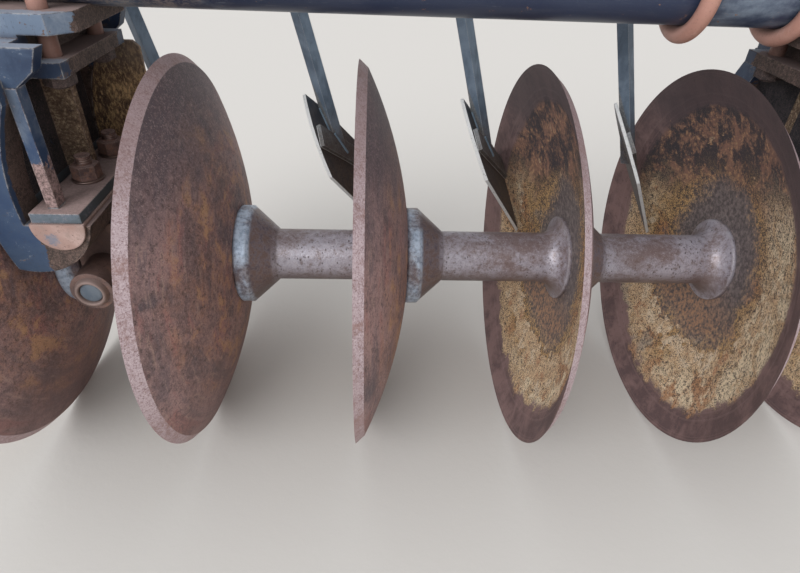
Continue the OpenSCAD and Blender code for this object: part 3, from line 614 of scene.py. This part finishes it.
def leg_paint(look):
    """Blue bars rusted at their feet, with webs darkened by rust and painted shade, and a
    golden-brown rib between them.
    """
    p = finish("leg_paint")
    place = p.place()
    y, z = p.split(place)[1:]
    up = z - AXLE_Z
    along = (y * y) ** 0.5
    ragged = (p.noise(place, 26.0, 5.0, 0.7) - 0.5) * 0.09
    plate = p.step(up, 0.1665, 0.1655)
    on_top = plate * p.step(p.facing()[2], 0.5, 0.8)
    bar = p.step(along, 0.117, 0.121) * (1 - plate)
    foot = bar * p.step(up + ragged, 0.236, 0.212)
    web = (1 - bar) * (1 - plate)
    rib = p.step(along, 0.0095, 0.0085) * (1 - plate)
    bared = 1 - (1 - foot * 0.9) * (1 - web * 0.75) * (1 - rib) * (1 - on_top)
    colour = p.mix(plate, look.paint_blue, (0.085, 0.110, 0.130))
    grain = p.noise(place, 190.0, 6.0, 0.75)
    # The web tones are near black: dark rust, and painted shade from the bars and head around the
    # webs
    low = p.mix(web, p.mix(on_top, (0.105, 0.070, 0.066), (0.070, 0.045, 0.042)),
                (0.016, 0.017, 0.023))
    low = p.mix(rib, low, (0.110, 0.070, 0.048))
    high = p.mix(web, p.mix(on_top, (0.390, 0.270, 0.265), (0.330, 0.215, 0.200)),
                 (0.058, 0.048, 0.054))
    high = p.mix(rib, high, p.mix(p.step(grain, 0.48, 0.60), (0.250, 0.165, 0.110),
                                  (0.58, 0.44, 0.29)))
    # (0.42, 0.315, 0.32) is painted sky light on faces turned upwards
    return flaked_paint(p, look, colour, (0.150, 0.190, 0.250), (0.42, 0.315, 0.32),
                        0.06, 1.0, bared, (low, high))


def primer_red(look):
    """Primer on the U-bolts, darkened under the hanger's head by painted shade of the beam, and
    gone from the nuts there.
    """
    p = finish("primer_red")
    parts = p.split(p.place())
    up = parts[2] - AXLE_Z
    beside = beside_bearing(parts[0])
    bared = p.step(up, 0.3285, 0.3275)
    # Painted shade of the beam: the U-bolts close under it by the bearing are darker
    painted_beam_shade = p.step(up, 0.43, 0.39) * p.step(beside * beside, 0.025, 0.016)
    coat = p.mix(painted_beam_shade, look.paint_red, (0.235, 0.118, 0.092))
    faded_and_painted_light = p.mix(painted_beam_shade, (0.56, 0.36, 0.31), (0.33, 0.190, 0.155))
    # The paler colour is also laid as painted sky light on faces turned upwards
    return flaked_paint(p, look, coat, faded_and_painted_light, faded_and_painted_light, 0.02, 0.5, bared,
                        ((0.060, 0.045, 0.045), (0.130, 0.090, 0.085)))


def golden_rust():
    """Thin plate under speckled golden-brown rust, greyer towards its top."""
    p = finish("rusted_plate")
    place = p.place()
    up = p.split(place)[2] - AXLE_Z
    clouds = p.noise(place, 16.0, 6.0, 0.65, 0.8)
    grain = p.noise(p.stretch(place, (1.0, 1.0, 0.45)), 230.0, 6.0, 0.8)
    fine = p.noise(place, 520.0, 3.0, 0.75)
    base = p.mix(p.step(clouds, 0.34, 0.64), (0.100, 0.062, 0.046), (0.290, 0.180, 0.105))
    base = p.layers(
        base,
        (grain + clouds * 0.3, 0.62, 0.76, 0.85, (0.78, 0.53, 0.27)),
        (grain, 0.44, 0.35, 0.85, (0.045, 0.032, 0.028)),
        (fine, 0.60, 0.68, 0.4, (0.56, 0.46, 0.34)),
        (up + (clouds - 0.5) * 0.1, 0.26, 0.31, 0.65, (0.150, 0.120, 0.108)))
    return p.shade(base, 0.72 + grain * 0.2, 0.05, grain * 0.6 + clouds * 0.4, 0.0012,
                   p.rounded(0.002), 0.4, 0.85)


def beam_navy(look):
    """Dark blue pipe, weathered paler towards its ends, with dust and a painted highlight on the
    left end, scratched lengthwise.
    """
    p = finish("beam_paint")
    place = p.place()
    x = p.split(place)[0]
    clouds = p.noise(p.stretch(place, (3.0, 9.0, 9.0)), 1.0, 6.0, 0.62, 0.5)
    blotches = p.noise(place, 42.0, 6.0, 0.72)
    grain = p.noise(place, 280.0, 5.0, 0.75)
    scratches = p.noise(p.stretch(place, (12.0, 520.0, 520.0)), 1.0, 3.0, 0.7)
    rounded = p.rounded(0.002)
    worn = p.edges(rounded)
    # Paler paint towards the ends: weathering, and towards the left end a painted highlight of
    # reflected light
    faded_and_painted_light = p.step(clouds + (blotches - 0.5) * 0.3 + p.step(x, -0.20, 0.06) * 0.24
                   + p.step(x, -0.66, -0.84) * 0.22, 0.60, 0.86)
    base = p.mix(faded_and_painted_light, look.paint_navy, (0.200, 0.250, 0.320))
    runs = p.noise(p.stretch(place, (5.0, 60.0, 60.0)), 1.0, 5.0, 0.68)
    # Pale towards the left end: dust, and a painted highlight on the beam's top
    dust_and_sheen = p.step(x + (clouds - 0.5) * 0.3, -0.66, -0.80)
    chip = p.step(blotches + (grain - 0.5) * 0.4 + worn * 0.2 + faded_and_painted_light * 0.03, 0.68, 0.71)
    base = p.layers(
        base,
        (runs, 0.54, 0.66, 0.45, (0.060, 0.072, 0.110)),
        (dust_and_sheen * p.step(grain + (blotches - 0.5) * 0.8, 0.40, 0.62), 0.7, (0.310, 0.260, 0.235)),
        (grain, 0.54, 0.72, 0.3, (0.110, 0.140, 0.195)),
        (chip, 1, p.mix(p.step(grain, 0.4, 0.6), (0.120, 0.070, 0.055), (0.300, 0.170, 0.120))),
        (p.step(scratches, 0.66, 0.71) * p.step(blotches, 0.44, 0.58), 0.6, (0.36, 0.39, 0.42)))
    roughness = 0.30 + faded_and_painted_light * 0.22 + grain * 0.12 + chip * 0.3
    height = grain * (0.10 + chip * 0.5) - chip * 0.5 - p.step(scratches, 0.67, 0.72) * 0.2
    return p.shade(base, roughness, 0.05, height, 0.0006, rounded, 0.5, 0.8)


def rusted_casting(name, look, light, dark, spot=None):
    """Cast iron with an even skin of rust; traces of paint low on its end where spot is given."""
    p = finish(name)
    place = p.place()
    x, _, z = p.split(place)
    clouds = p.noise(place, 14.0, 6.0, 0.65, 0.5)
    blotches = p.noise(place, 48.0, 6.0, 0.72)
    grain = p.noise(place, 280.0, 6.0, 0.75)
    rounded = p.rounded(0.003)
    worn = p.edges(rounded)
    # Corner mask: real grime, and painted shade where less light reaches
    dirt_and_shade = p.hollows(0.025)
    base = p.mix(p.step(clouds, 0.38, 0.62), dark, light)
    base = p.mix(p.step(blotches, 0.55, 0.72) * 0.5, base, look.rust_warm)
    base = p.mix(p.step(grain, 0.44, 0.32) * 0.8, base, (0.050, 0.034, 0.030))
    if spot:
        aside = beside_bearing(x) + 0.012
        below = z - AXLE_Z - 0.125
        near = (aside * aside + below * below) ** 0.5 + (grain - 0.5) * 0.035
        base = p.mix(p.step(blotches, 0.50, 0.64) * 0.6, base, (0.33, 0.255, 0.235))
        base = p.mix(p.step(near, 0.0130, 0.0030) * 0.65, base, spot)
    base = p.mix(worn * p.step(grain, 0.40, 0.60) * 0.6, base, (0.33, 0.25, 0.235))
    # Corners darkened: grime and painted shade
    base = p.mix(dirt_and_shade * 0.65, base, (0.060, 0.040, 0.034))
    roughness = 0.60 + grain * 0.28
    return p.shade(base, roughness, 0.08, grain * 0.55 + blotches * 0.45, 0.0010, rounded, 0.4, 0.8)


def scraper_blue(look):
    """Steel-blue paint, rubbed bright along the blade's edges, earth on the blade."""
    p = finish("scraper_paint")
    place = p.place()
    x, y, z = p.split(place)
    up = z - AXLE_Z
    clouds = p.noise(place, 16.0, 5.0, 0.6, 0.5)
    blotches = p.noise(place, 60.0, 6.0, 0.72)
    grain = p.noise(place, 300.0, 6.0, 0.75)
    runs = p.noise(p.stretch(place, (110.0, 40.0, 14.0)), 1.0, 5.0, 0.65)
    rounded = p.rounded(0.0018)
    worn = p.edges(rounded)
    # How far a point lies above the blade's front face, and how far its face turns from it
    front = Euler(BLADE_TURN, "XYZ").to_matrix() @ Vector((0, 0, 1))
    aside = (x - RIM_X[0] + 0.16) % PITCH - 0.16
    above = ((aside - BLADE_FROM[0]) * front.x + (y - BLADE_FROM[1]) * front.y
             + (up - BLADE_FROM[2]) * front.z)
    fx, fy, fz = p.facing()
    turned_off = ((fx * front.x + fy * front.y + fz * front.z) ** 2) ** 0.5
    blade = p.step(above, 0.0012, 0.0006) * p.step(above, -0.0080, -0.0070)
    strap = p.step(above, 0.0006, 0.0012) * p.step(above, 0.0110, 0.0090) * p.step(up, 0.35, 0.33)
    rim = blade * p.step(turned_off, 0.45, 0.30)
    low = p.step(up + (clouds - 0.5) * 0.08, 0.215, 0.145)
    coat = p.mix(p.step(clouds, 0.38, 0.62), (0.120, 0.168, 0.230), (0.215, 0.285, 0.370))
    coat = p.mix(p.step(runs, 0.50, 0.72) * 0.55, coat, (0.075, 0.105, 0.145))
    chip = p.step(blotches + (grain - 0.5) * 0.4 + worn * 0.10, 0.68, 0.71)
    base = p.mix(chip, coat, (0.22, 0.150, 0.120))
    earth = p.mix(p.step(grain, 0.38, 0.62), (0.065, 0.056, 0.056), (0.165, 0.135, 0.118))
    base = p.layers(
        base,
        (strap, 0.65, p.mix(p.step(grain, 0.4, 0.6), (0.150, 0.145, 0.135), (0.320, 0.305, 0.280))),
        # The blade's face is painted near black: painted shade, as the face stands in shadow
        (blade, 0.85,
         p.mix(p.step(blotches, 0.4, 0.6), (0.036, 0.042, 0.055), (0.085, 0.080, 0.082))),
        (low * (0.55 + p.step(blotches, 0.4, 0.6) * 0.35), 1, earth),
        (worn * p.step(grain + blotches * 0.4, 0.46, 0.66), 0.7, look.bare),
        (rim * (0.35 + p.step(grain + blotches * 0.4, 0.52, 0.64) * 0.6), 1, (0.70, 0.715, 0.72)))
    roughness = 0.40 + grain * 0.2 + low * 0.25 - worn * 0.12
    return p.shade(base, roughness, 0.10, grain * 0.5 + blotches * 0.3, 0.0006, rounded, 0.5, 0.8)


def dress(names, *materials):
    """Give CAD nodes a finish in place of their plain one."""
    for name in names:
        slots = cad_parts[name].data.materials
        slots.clear()
        for material in materials:
            slots.append(material)


def starting(*prefixes):
    """Names of the CAD nodes that start with any of the prefixes."""
    names = sorted(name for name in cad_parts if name.startswith(prefixes))
    if not names:
        raise RuntimeError(f"no node starts with {prefixes}")
    return names


def make_piece(name, bm, material, body, smooth=True):
    """Turn a bmesh into a piece that rides on a body."""
    bmesh.ops.recalc_face_normals(bm, faces=bm.faces)
    mesh = bpy.data.meshes.new(name)
    bm.to_mesh(mesh)
    bm.free()
    if not len(mesh.polygons):
        raise RuntimeError(f"{name} has no faces")
    mesh.polygons.foreach_set("use_smooth", [smooth] * len(mesh.polygons))
    mesh.materials.append(material)
    piece = bpy.data.objects.new(name, mesh)
    bpy.context.scene.collection.objects.link(piece)
    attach(piece, body)
    return piece


def material_named(name):
    """The material of this name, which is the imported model's plain one where it brings one."""
    material = bpy.data.materials.get(name)
    if material is None:
        raise RuntimeError(f"no material is named {name}")
    return material


def grid_faces(bm, rows, closed=False):
    """Join rows of points with quads; closed rows meet end to end."""
    made = [[bm.verts.new(point) for point in row] for row in rows]
    for low, high in zip(made, made[1:]):
        count = len(low)
        for i in range(count if closed else count - 1):
            j = (i + 1) % count
            bm.faces.new((low[i], low[j], high[j], high[i]))
    return made


def turned(bm, place, axis, outline, sides=40, around=0.0, open_ends=False):
    """A turned form: outline gives (distance along the axis, radius) from foot to tip."""
    turn = Vector((0, 0, 1)).rotation_difference(Vector(axis).normalized()).to_matrix().to_4x4()
    matrix = Matrix.Translation(place) @ turn
    rows = []
    for along, radius in outline:
        rows.append([matrix @ Vector((
            radius * math.cos(around + 2 * math.pi * i / sides),
            radius * math.sin(around + 2 * math.pi * i / sides), along))
            for i in range(sides)])
    made = grid_faces(bm, rows, closed=True)
    for ring, (_, radius) in ((made[0], outline[0]), (made[-1], outline[-1])):
        if radius > 1e-6 and not open_ends:
            bm.faces.new(ring)
    bmesh.ops.remove_doubles(bm, verts=bm.verts, dist=1e-7)


def thread(bm, foot, direction, radius, length, fitting):
    """A helical ridge round a bolt, run out at both ends."""
    sides = 22
    turns = int(length / fitting.thread_pitch) - 1
    steps = turns * sides
    rows = []
    for i in range(steps + 1):
        angle = 2 * math.pi * i / sides
        fade = min(1.0, 1.5 * min(i, steps - i) / sides)
        dent = 1 - 0.35 * max(0.0, noise.noise(Vector((foot.x * 90, foot.y * 90, i * 0.07))))
        crest = radius + fitting.thread_height * fade * dent
        base = fitting.thread_pitch * i / sides
        rows.append([
            Vector((r * math.cos(angle), r * math.sin(angle), base + lift * fitting.thread_pitch))
            for r, lift in ((radius - 0.0002, 0.0), (crest, 0.42), (crest, 0.58),
                            (radius - 0.0002, 1.0))])
    turn = Vector((0, 0, 1)).rotation_difference(Vector(direction)).to_matrix().to_4x4()
    matrix = Matrix.Translation(foot) @ turn
    grid_faces(bm, [[matrix @ point for point in row] for row in rows])


def weld_bead(bm, path, radius, closed=False):
    """A rippled bead along a path of points."""
    sides = 8
    rows = []
    count = len(path)
    for i, point in enumerate(path):
        ahead = path[(i + 1) % count] if closed or i + 1 < count else point
        back = path[i - 1] if closed or i else point
        along = (ahead - back).normalized()
        side = along.orthogonal().normalized()
        other = along.cross(side)
        ripple = 0.86 + 0.14 * math.sin(i * 2.1) + 0.18 * noise.noise(point * 180)
        rows.append([point + (side * math.cos(2 * math.pi * k / sides)
                              + other * math.sin(2 * math.pi * k / sides)) * radius * ripple
                     for k in range(sides)])
    # Neighbouring rings turn alike, so the nearest points are joined
    for i in range(1, count):
        shift = min(range(sides), key=lambda s: (rows[i][s] - rows[i - 1][0]).length)
        rows[i] = rows[i][shift:] + rows[i][:shift]
        if (rows[i][1] - rows[i - 1][1]).length > (rows[i][-1] - rows[i - 1][1]).length:
            rows[i] = [rows[i][0]] + rows[i][:0:-1]
    if closed:
        rows.append(rows[0])
    made = grid_faces(bm, rows, closed=True)
    if closed:
        bmesh.ops.remove_doubles(bm, verts=bm.verts, dist=1e-7)
    else:
        bm.faces.new(made[0])
        bm.faces.new(made[-1])


def round_beam(x, outside, angles):
    """Points round the beam, a little outside or inside its surface."""
    radius = BEAM_R + outside
    return [Vector((x, radius * math.cos(a), BEAM_Z + radius * math.sin(a))) for a in angles]


class HARROW_OT_stage(bpy.types.Operator):
    """Lay the floor, light it softly and set the camera"""
    bl_idname = "harrow.stage"
    bl_label = "Floor, Light and Camera"

    def execute(self, context):
        settings = context.scene.harrow_stage
        scene = context.scene
        scene.view_settings.view_transform = "Standard"

        mesh = bpy.data.meshes.new("floor")
        bm = bmesh.new()
        edges = (-FLOOR_HALF, FLOOR_HALF)
        grid_faces(bm, [[Vector((x, y, FLOOR_Z)) for x in edges] for y in edges])
        bm.to_mesh(mesh)
        bm.free()
        floor = bpy.data.objects.new("floor", mesh)
        scene.collection.objects.link(floor)
        p = finish("floor")
        base = p.mix(p.seen(), settings.bounce_colour, settings.floor_colour)
        mesh.materials.append(p.shade(base, 0.9, 0.0, p.noise(p.place(), 60.0), 0.0004, None, 0.1))

        p = Paint(bpy.data.worlds.new("sky"))
        scene.world = p.owner
        way = p.split(p.add("ShaderNodeTexCoord", output="Generated"))[2]
        light = p.mix(p.step(way, 0.0, 0.9), settings.sky_low, settings.sky_high)
        colour = p.mix(p.seen(), light, settings.floor_colour)
        sky = p.add("ShaderNodeBackground", None, {"Color": colour, "Strength": 1.0})
        p.add("ShaderNodeOutputWorld", None, {"Surface": sky})

        lamp = bpy.data.lights.new("soft_lamp", "SUN")
        lamp.angle = settings.lamp_angle
        lamp.energy = settings.lamp_strength
        holder = bpy.data.objects.new("soft_lamp", lamp)
        turn = (LAMP_AIM - LAMP_PLACE).to_track_quat("-Z", "Y").to_matrix().to_4x4()
        holder.matrix_world = Matrix.Translation(LAMP_PLACE) @ turn
        scene.collection.objects.link(holder)

        data = bpy.data.cameras.new("camera")
        data.sensor_width = 36.0
        data.lens = settings.lens
        camera = bpy.data.objects.new("camera", data)
        yaw, pitch, roll = settings.camera_yaw, settings.camera_pitch, settings.camera_roll
        ahead = Vector((math.sin(yaw) * math.cos(pitch), math.cos(yaw) * math.cos(pitch),
                        -math.sin(pitch)))
        right = Vector((math.cos(yaw), -math.sin(yaw), 0.0))
        up = right.cross(ahead)
        across = right * math.cos(roll) + up * math.sin(roll)
        upward = up * math.cos(roll) - right * math.sin(roll)
        turn = Matrix((across, upward, -ahead)).transposed().to_4x4()
        camera.matrix_world = Matrix.Translation(settings.camera_place) @ turn
        scene.collection.objects.link(camera)
        scene.camera = camera
        return {"FINISHED"}


class HARROW_OT_discs(bpy.types.Operator):
    """Rust the discs outside and stain their hollow sides"""
    bl_idname = "harrow.discs"
    bl_label = "Discs"

    def execute(self, context):
        dress(DISCS, disc_steel(context.scene.harrow_finish))
        return {"FINISHED"}


class HARROW_OT_spools(bpy.types.Operator):
    """Finish the cast spools and the turned journals"""
    bl_idname = "harrow.spools"
    bl_label = "Spools and Journals"

    def execute(self, context):
        look = context.scene.harrow_finish
        dress(starting("spool_"), cast_spool(look))
        dress(starting("journal_"), turned_steel(look))
        return {"FINISHED"}


class HARROW_OT_fasteners(bpy.types.Operator):
    """Rust the gang bolt, its washers and nuts, and the hanger bolts"""
    bl_idname = "harrow.fasteners"
    bl_label = "Bolts and Nuts"

    def execute(self, context):
        look = context.scene.harrow_finish
        dress(starting("gang_bolt", "end_", "hanger_bolts_"), rusty_bolt(look))
        dress(starting("saddle_ubolts_", "head_ubolts_"), primer_red(look))
        return {"FINISHED"}


class HARROW_OT_beam(bpy.types.Operator):
    """Paint the pipe beam and its caps"""
    bl_idname = "harrow.beam"
    bl_label = "Beam"

    def execute(self, context):
        dress(starting("beam"), beam_navy(context.scene.harrow_finish))
        return {"FINISHED"}


class HARROW_OT_hangers(bpy.types.Operator):
    """Finish the hangers, their legs, blocks, housings and the frame saddles"""
    bl_idname = "harrow.hangers"
    bl_label = "Hangers and Bearings"

    def execute(self, context):
        look = context.scene.harrow_finish
        dress(["hanger_left", "hanger_right"], hanger_paint(look))
        dress(starting("leg_"), leg_paint(look))
        # The third colour is painted sky light on faces turned upwards
        dress(["saddle_left", "saddle_right"], flaked_paint(
            finish("saddle_paint"), look, look.paint_blue, (0.105, 0.140, 0.200),
            (0.285, 0.325, 0.390), 0.09, 1.0))
        dress(starting("block_"), rusted_casting(
            "bare_cast", look, (0.48, 0.345, 0.315), (0.36, 0.235, 0.205), (0.14, 0.20, 0.28)))
        dress(starting("housing_"), rusted_casting(
            "housing_cast", look, (0.230, 0.148, 0.130), (0.125, 0.084, 0.078)))
        return {"FINISHED"}


class HARROW_OT_scrapers(bpy.types.Operator):
    """Finish the scrapers, their bar and its brackets"""
    bl_idname = "harrow.scrapers"
    bl_label = "Scrapers"

    def execute(self, context):
        look = context.scene.harrow_finish
        dress([f"scraper_{k + 1}" for k in range(len(DISCS))], scraper_blue(look))
        # The third colour is painted sky light on faces turned upwards
        dress(["scraper_bar", "scraper_brackets"], flaked_paint(
            finish("bar_paint"), look, (0.060, 0.090, 0.145), (0.155, 0.190, 0.235),
            (0.20, 0.235, 0.28), 0.06, 0.8))
        dress(["scraper_clamps"], material_named("rusty_bolt"))
        return {"FINISHED"}


class HARROW_OT_soil(bpy.types.Operator):
    """Lay thin islands of dried soil on the hollow side of each disc"""
    bl_idname = "harrow.soil"
    bl_label = "Dried Soil"

    def execute(self, context):
        fitting = context.scene.harrow_fitting
        earth = dried_soil(context.scene.harrow_finish)
        for k in range(len(DISCS)):
            bm = bmesh.new()
            shift = Vector((13.7 * k, 5.1 * k, fitting.seed))
            rows = []
            for i in range(SOIL_RINGS + 1):
                radius = SOIL_INNER + (SOIL_OUTER - SOIL_INNER) * i / SOIL_RINGS
                row = []
                for j in range(SOIL_SPOKES):
                    angle = 2 * math.pi * j / SOIL_SPOKES
                    y, z = radius * math.cos(angle), radius * math.sin(angle)
                    spot = Vector((0.0, y, z))
                    wide = noise.fractal(spot * 9 + shift, 0.9, 2.1, 4)
                    lumps = noise.fractal(spot * 60 + shift, 0.8, 2.2, 5)
                    band = math.exp(-((radius - SOIL_BAND_R - 0.03 * wide) / SOIL_BAND_W) ** 2)
                    low = 0.5 - 0.5 * math.sin(angle + 0.35)
                    rise = -0.55 + 0.75 * band * (0.35 + low) + 0.34 * wide + 0.42 * lumps
                    height = min(1.0, rise) * fitting.soil_height if rise > 0 else -0.0006
                    ball = math.sqrt((BALL_R - height) ** 2 - radius ** 2)
                    row.append(Vector((RIM_X[k] + BALL_X + ball, y, AXLE_Z + z)))
                rows.append(row)
            grid_faces(bm, rows, closed=True)
            sunk = [face for face in bm.faces if all(
                (vert.co - Vector((RIM_X[k] + BALL_X, 0, AXLE_Z))).length > BALL_R + 0.0004
                for vert in face.verts)]
            bmesh.ops.delete(bm, geom=sunk, context="FACES")
            make_piece(f"soil_{k + 1}", bm, earth, "gang")
        return {"FINISHED"}


class HARROW_OT_threads(bpy.types.Operator):
    """Cut threads on the U-bolts and the hanger bolts"""
    bl_idname = "harrow.threads"
    bl_label = "Threads"

    def execute(self, context):
        fitting = context.scene.harrow_fitting
        rust = material_named("rusty_bolt")
        red = material_named("primer_red")
        for side in SIDES:
            low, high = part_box(f"saddle_ubolts_{side}")
            bm = bmesh.new()
            for x in (low.x + UBOLT_R, high.x - UBOLT_R):
                for y in (low.y + UBOLT_R, high.y - UBOLT_R):
                    foot = Vector((x, y, STUD_FOOT))
                    thread(bm, foot, (0, 0, 1), BOLT_R, high.z - STUD_FOOT - 0.001, fitting)
            make_piece(f"saddle_threads_{side}", bm, red, "frame")
            low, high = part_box(f"hanger_bolts_{side}")
            middle = (low.x + high.x) / 2
            bm = bmesh.new()
            for y in (-BOLT_Y, BOLT_Y):
                foot = Vector((middle, y, high.z - STUD_OUT))
                thread(bm, foot, (0, 0, 1), BOLT_R, STUD_OUT - 0.0005, fitting)
            make_piece(f"hanger_threads_{side}", bm, rust, "frame")
        return {"FINISHED"}


class HARROW_OT_bearing_fittings(bpy.types.Operator):
    """Fit the trunnions' caps and lips, and the washers under the hanger bolts' nuts"""
    bl_idname = "harrow.bearing_fittings"
    bl_label = "Bearing Fittings"

    def execute(self, context):
        look = context.scene.harrow_finish
        # The third colour is painted sky light on faces turned upwards
        cap_paint = flaked_paint(
            finish("cap_paint"), look, (0.090, 0.120, 0.160), (0.16, 0.19, 0.225),
            (0.20, 0.23, 0.26), 0.07, 0.9, radius=0.0015)
        rust = material_named("rusty_bolt")
        cast = material_named("housing_cast")
        for side in SIDES:
            low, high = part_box(f"housing_{side}")
            middle = (low.x + high.x) / 2
            caps = bmesh.new()
            lips = bmesh.new()
            for way in (-1, 1):
                face = low.y if way < 0 else high.y
                centre = Vector((middle, face - way * 0.001, BOSS_Z))
                turned(caps, centre, (0, way, 0), CAP_OUTLINE)
                turned(lips, centre, (0, way, 0), LIP_OUTLINE, open_ends=True)
            make_piece(f"trunnion_caps_{side}", caps, cap_paint, "frame")
            make_piece(f"trunnion_lips_{side}", lips, cast, "frame")
            bm = bmesh.new()
            for y in (-BOLT_Y, BOLT_Y):
                turned(bm, Vector((middle, y, PLATE_TOP - 0.0003)), (0, 0, 1), WASHER_OUTLINE)
            make_piece(f"hanger_washers_{side}", bm, rust, "frame")
        return {"FINISHED"}


class HARROW_OT_rear_webs(bpy.types.Operator):
    """Close each hanger behind its rear bar with a rusted plate"""
    bl_idname = "harrow.rear_webs"
    bl_label = "Rear Webs"

    def execute(self, context):
        rust = golden_rust()
        for side, shift in zip(SIDES, (0.0, SPAN)):
            bm = bmesh.new()
            rows = [[Vector((BEARING_X + shift + x, y, z)) for x, z in WEB_OUTLINE]
                    for y in WEB_Y]
            for ring in grid_faces(bm, rows, closed=True):
                bm.faces.new(ring)
            bmesh.ops.bevel(bm, geom=bm.edges[:], offset=0.0012, segments=2, profile=0.5,
                            affect="EDGES")
            seam = [Vector((BEARING_X + shift + 0.001 * i + WEB_SEAM_X, WEB_SEAM_Y,
                            PLATE_TOP + 0.0006)) for i in range(67)]
            weld_bead(bm, seam, context.scene.harrow_fitting.bead * 0.8)
            make_piece(f"rear_web_{side}", bm, rust, "frame", smooth=False)
        return {"FINISHED"}


class HARROW_OT_welds(bpy.types.Operator):
    """Weld the beam's caps, the scraper brackets and the scrapers"""
    bl_idname = "harrow.welds"
    bl_label = "Welds"

    def execute(self, context):
        radius = context.scene.harrow_fitting.bead
        bm = bmesh.new()
        for x, way in ((BEAM_LOW.x, -1), (BEAM_HIGH.x, 1)):
            turn = [2 * math.pi * i / 120 for i in range(120)]
            seam = round_beam(x + way * 0.0005, CAP_SEAM_IN, turn)
            weld_bead(bm, seam, radius * 0.8, closed=True)
        make_piece("cap_welds", bm, material_named("beam_paint"), "frame")

        low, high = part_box("scraper_bar")
        middle = (low + high) / 2
        tilt = Matrix.Rotation(-BAR_TILT, 3, "X")
        half = BAR_HALF + 0.0008
        corners = [Vector((0, half * a, half * b)) for a, b in ((1, 1), (-1, 1), (-1, -1), (1, -1))]
        bm = bmesh.new()
        for start in BRACKETS:
            for x in (start, start + BRACKET_T):
                arc = [math.radians(-56 + 2 * i) for i in range(57)]
                weld_bead(bm, round_beam(x, 0.0008, arc), radius)
                path = []
                for i, corner in enumerate(corners):
                    end = corners[(i + 1) % 4]
                    path += [Vector((x, middle.y, middle.z)) + tilt @ corner.lerp(end, t / 18)
                             for t in range(18)]
                weld_bead(bm, path, radius * 0.85, closed=True)
        make_piece("bracket_welds", bm, material_named("bar_paint"), "frame")

        # Each shank is welded to its strap, and the strap to the blade
        blade = Matrix.Translation(BLADE_FROM) @ Euler(BLADE_TURN, "XYZ").to_matrix().to_4x4()
        strap = blade @ Matrix.Translation(STRAP_FROM) @ Matrix.Rotation(STRAP_TURN, 4, "Z")
        steel = material_named("scraper_paint")
        for k in range(len(DISCS)):
            rim = Vector((RIM_X[k], 0, AXLE_Z))
            bm = bmesh.new()
            for start, end in SCRAPER_SEAMS:
                start, end = Vector(start), Vector(end)
                count = int((end - start).length / 0.0011)
                weld_bead(bm, [rim + strap @ start.lerp(end, i / count)
                               for i in range(count + 1)], radius * 0.75)
            make_piece(f"blade_weld_{k + 1}", bm, steel, "frame")
        return {"FINISHED"}


class HARROW_PT_panel(bpy.types.Panel):
    """Sizes, colours and steps of the harrow gang"""
    bl_idname = "HARROW_PT_panel"
    bl_label = "Disc Harrow Gang"
    bl_space_type = "VIEW_3D"
    bl_region_type = "UI"
    bl_category = "Harrow"

    def draw(self, context):
        scene = context.scene
        for title, group in (("Stage", scene.harrow_stage), ("Finishes", scene.harrow_finish),
                             ("Fittings", scene.harrow_fitting)):
            box = self.layout.box()
            box.label(text=title)
            for name in group.__annotations__:
                box.prop(group, name)
        for operator in OPERATORS:
            self.layout.operator(operator.bl_idname)


GROUPS = (StageSettings, FinishSettings, FittingSettings)
OPERATORS = (
    HARROW_OT_stage, HARROW_OT_discs, HARROW_OT_spools, HARROW_OT_fasteners, HARROW_OT_beam,
    HARROW_OT_hangers, HARROW_OT_scrapers, HARROW_OT_soil, HARROW_OT_threads,
    HARROW_OT_bearing_fittings, HARROW_OT_rear_webs, HARROW_OT_welds)


def register():
    for cls in (*GROUPS, *OPERATORS, HARROW_PT_panel):
        bpy.utils.register_class(cls)
    bpy.types.Scene.harrow_stage = PointerProperty(type=StageSettings)
    bpy.types.Scene.harrow_finish = PointerProperty(type=FinishSettings)
    bpy.types.Scene.harrow_fitting = PointerProperty(type=FittingSettings)


def unregister():
    for name in ("harrow_stage", "harrow_finish", "harrow_fitting"):
        delattr(bpy.types.Scene, name)
    for cls in (HARROW_PT_panel, *reversed(OPERATORS), *reversed(GROUPS)):
        bpy.utils.unregister_class(cls)


def main():
    """Build the looks in order."""
    register()
    bpy.ops.harrow.stage()
    bpy.ops.harrow.discs()
    bpy.ops.harrow.spools()
    bpy.ops.harrow.fasteners()
    bpy.ops.harrow.beam()
    bpy.ops.harrow.hangers()
    bpy.ops.harrow.scrapers()
    bpy.ops.harrow.soil()
    bpy.ops.harrow.threads()
    bpy.ops.harrow.bearing_fittings()
    bpy.ops.harrow.rear_webs()
    bpy.ops.harrow.welds()


if __name__ == "__main__":
    main()
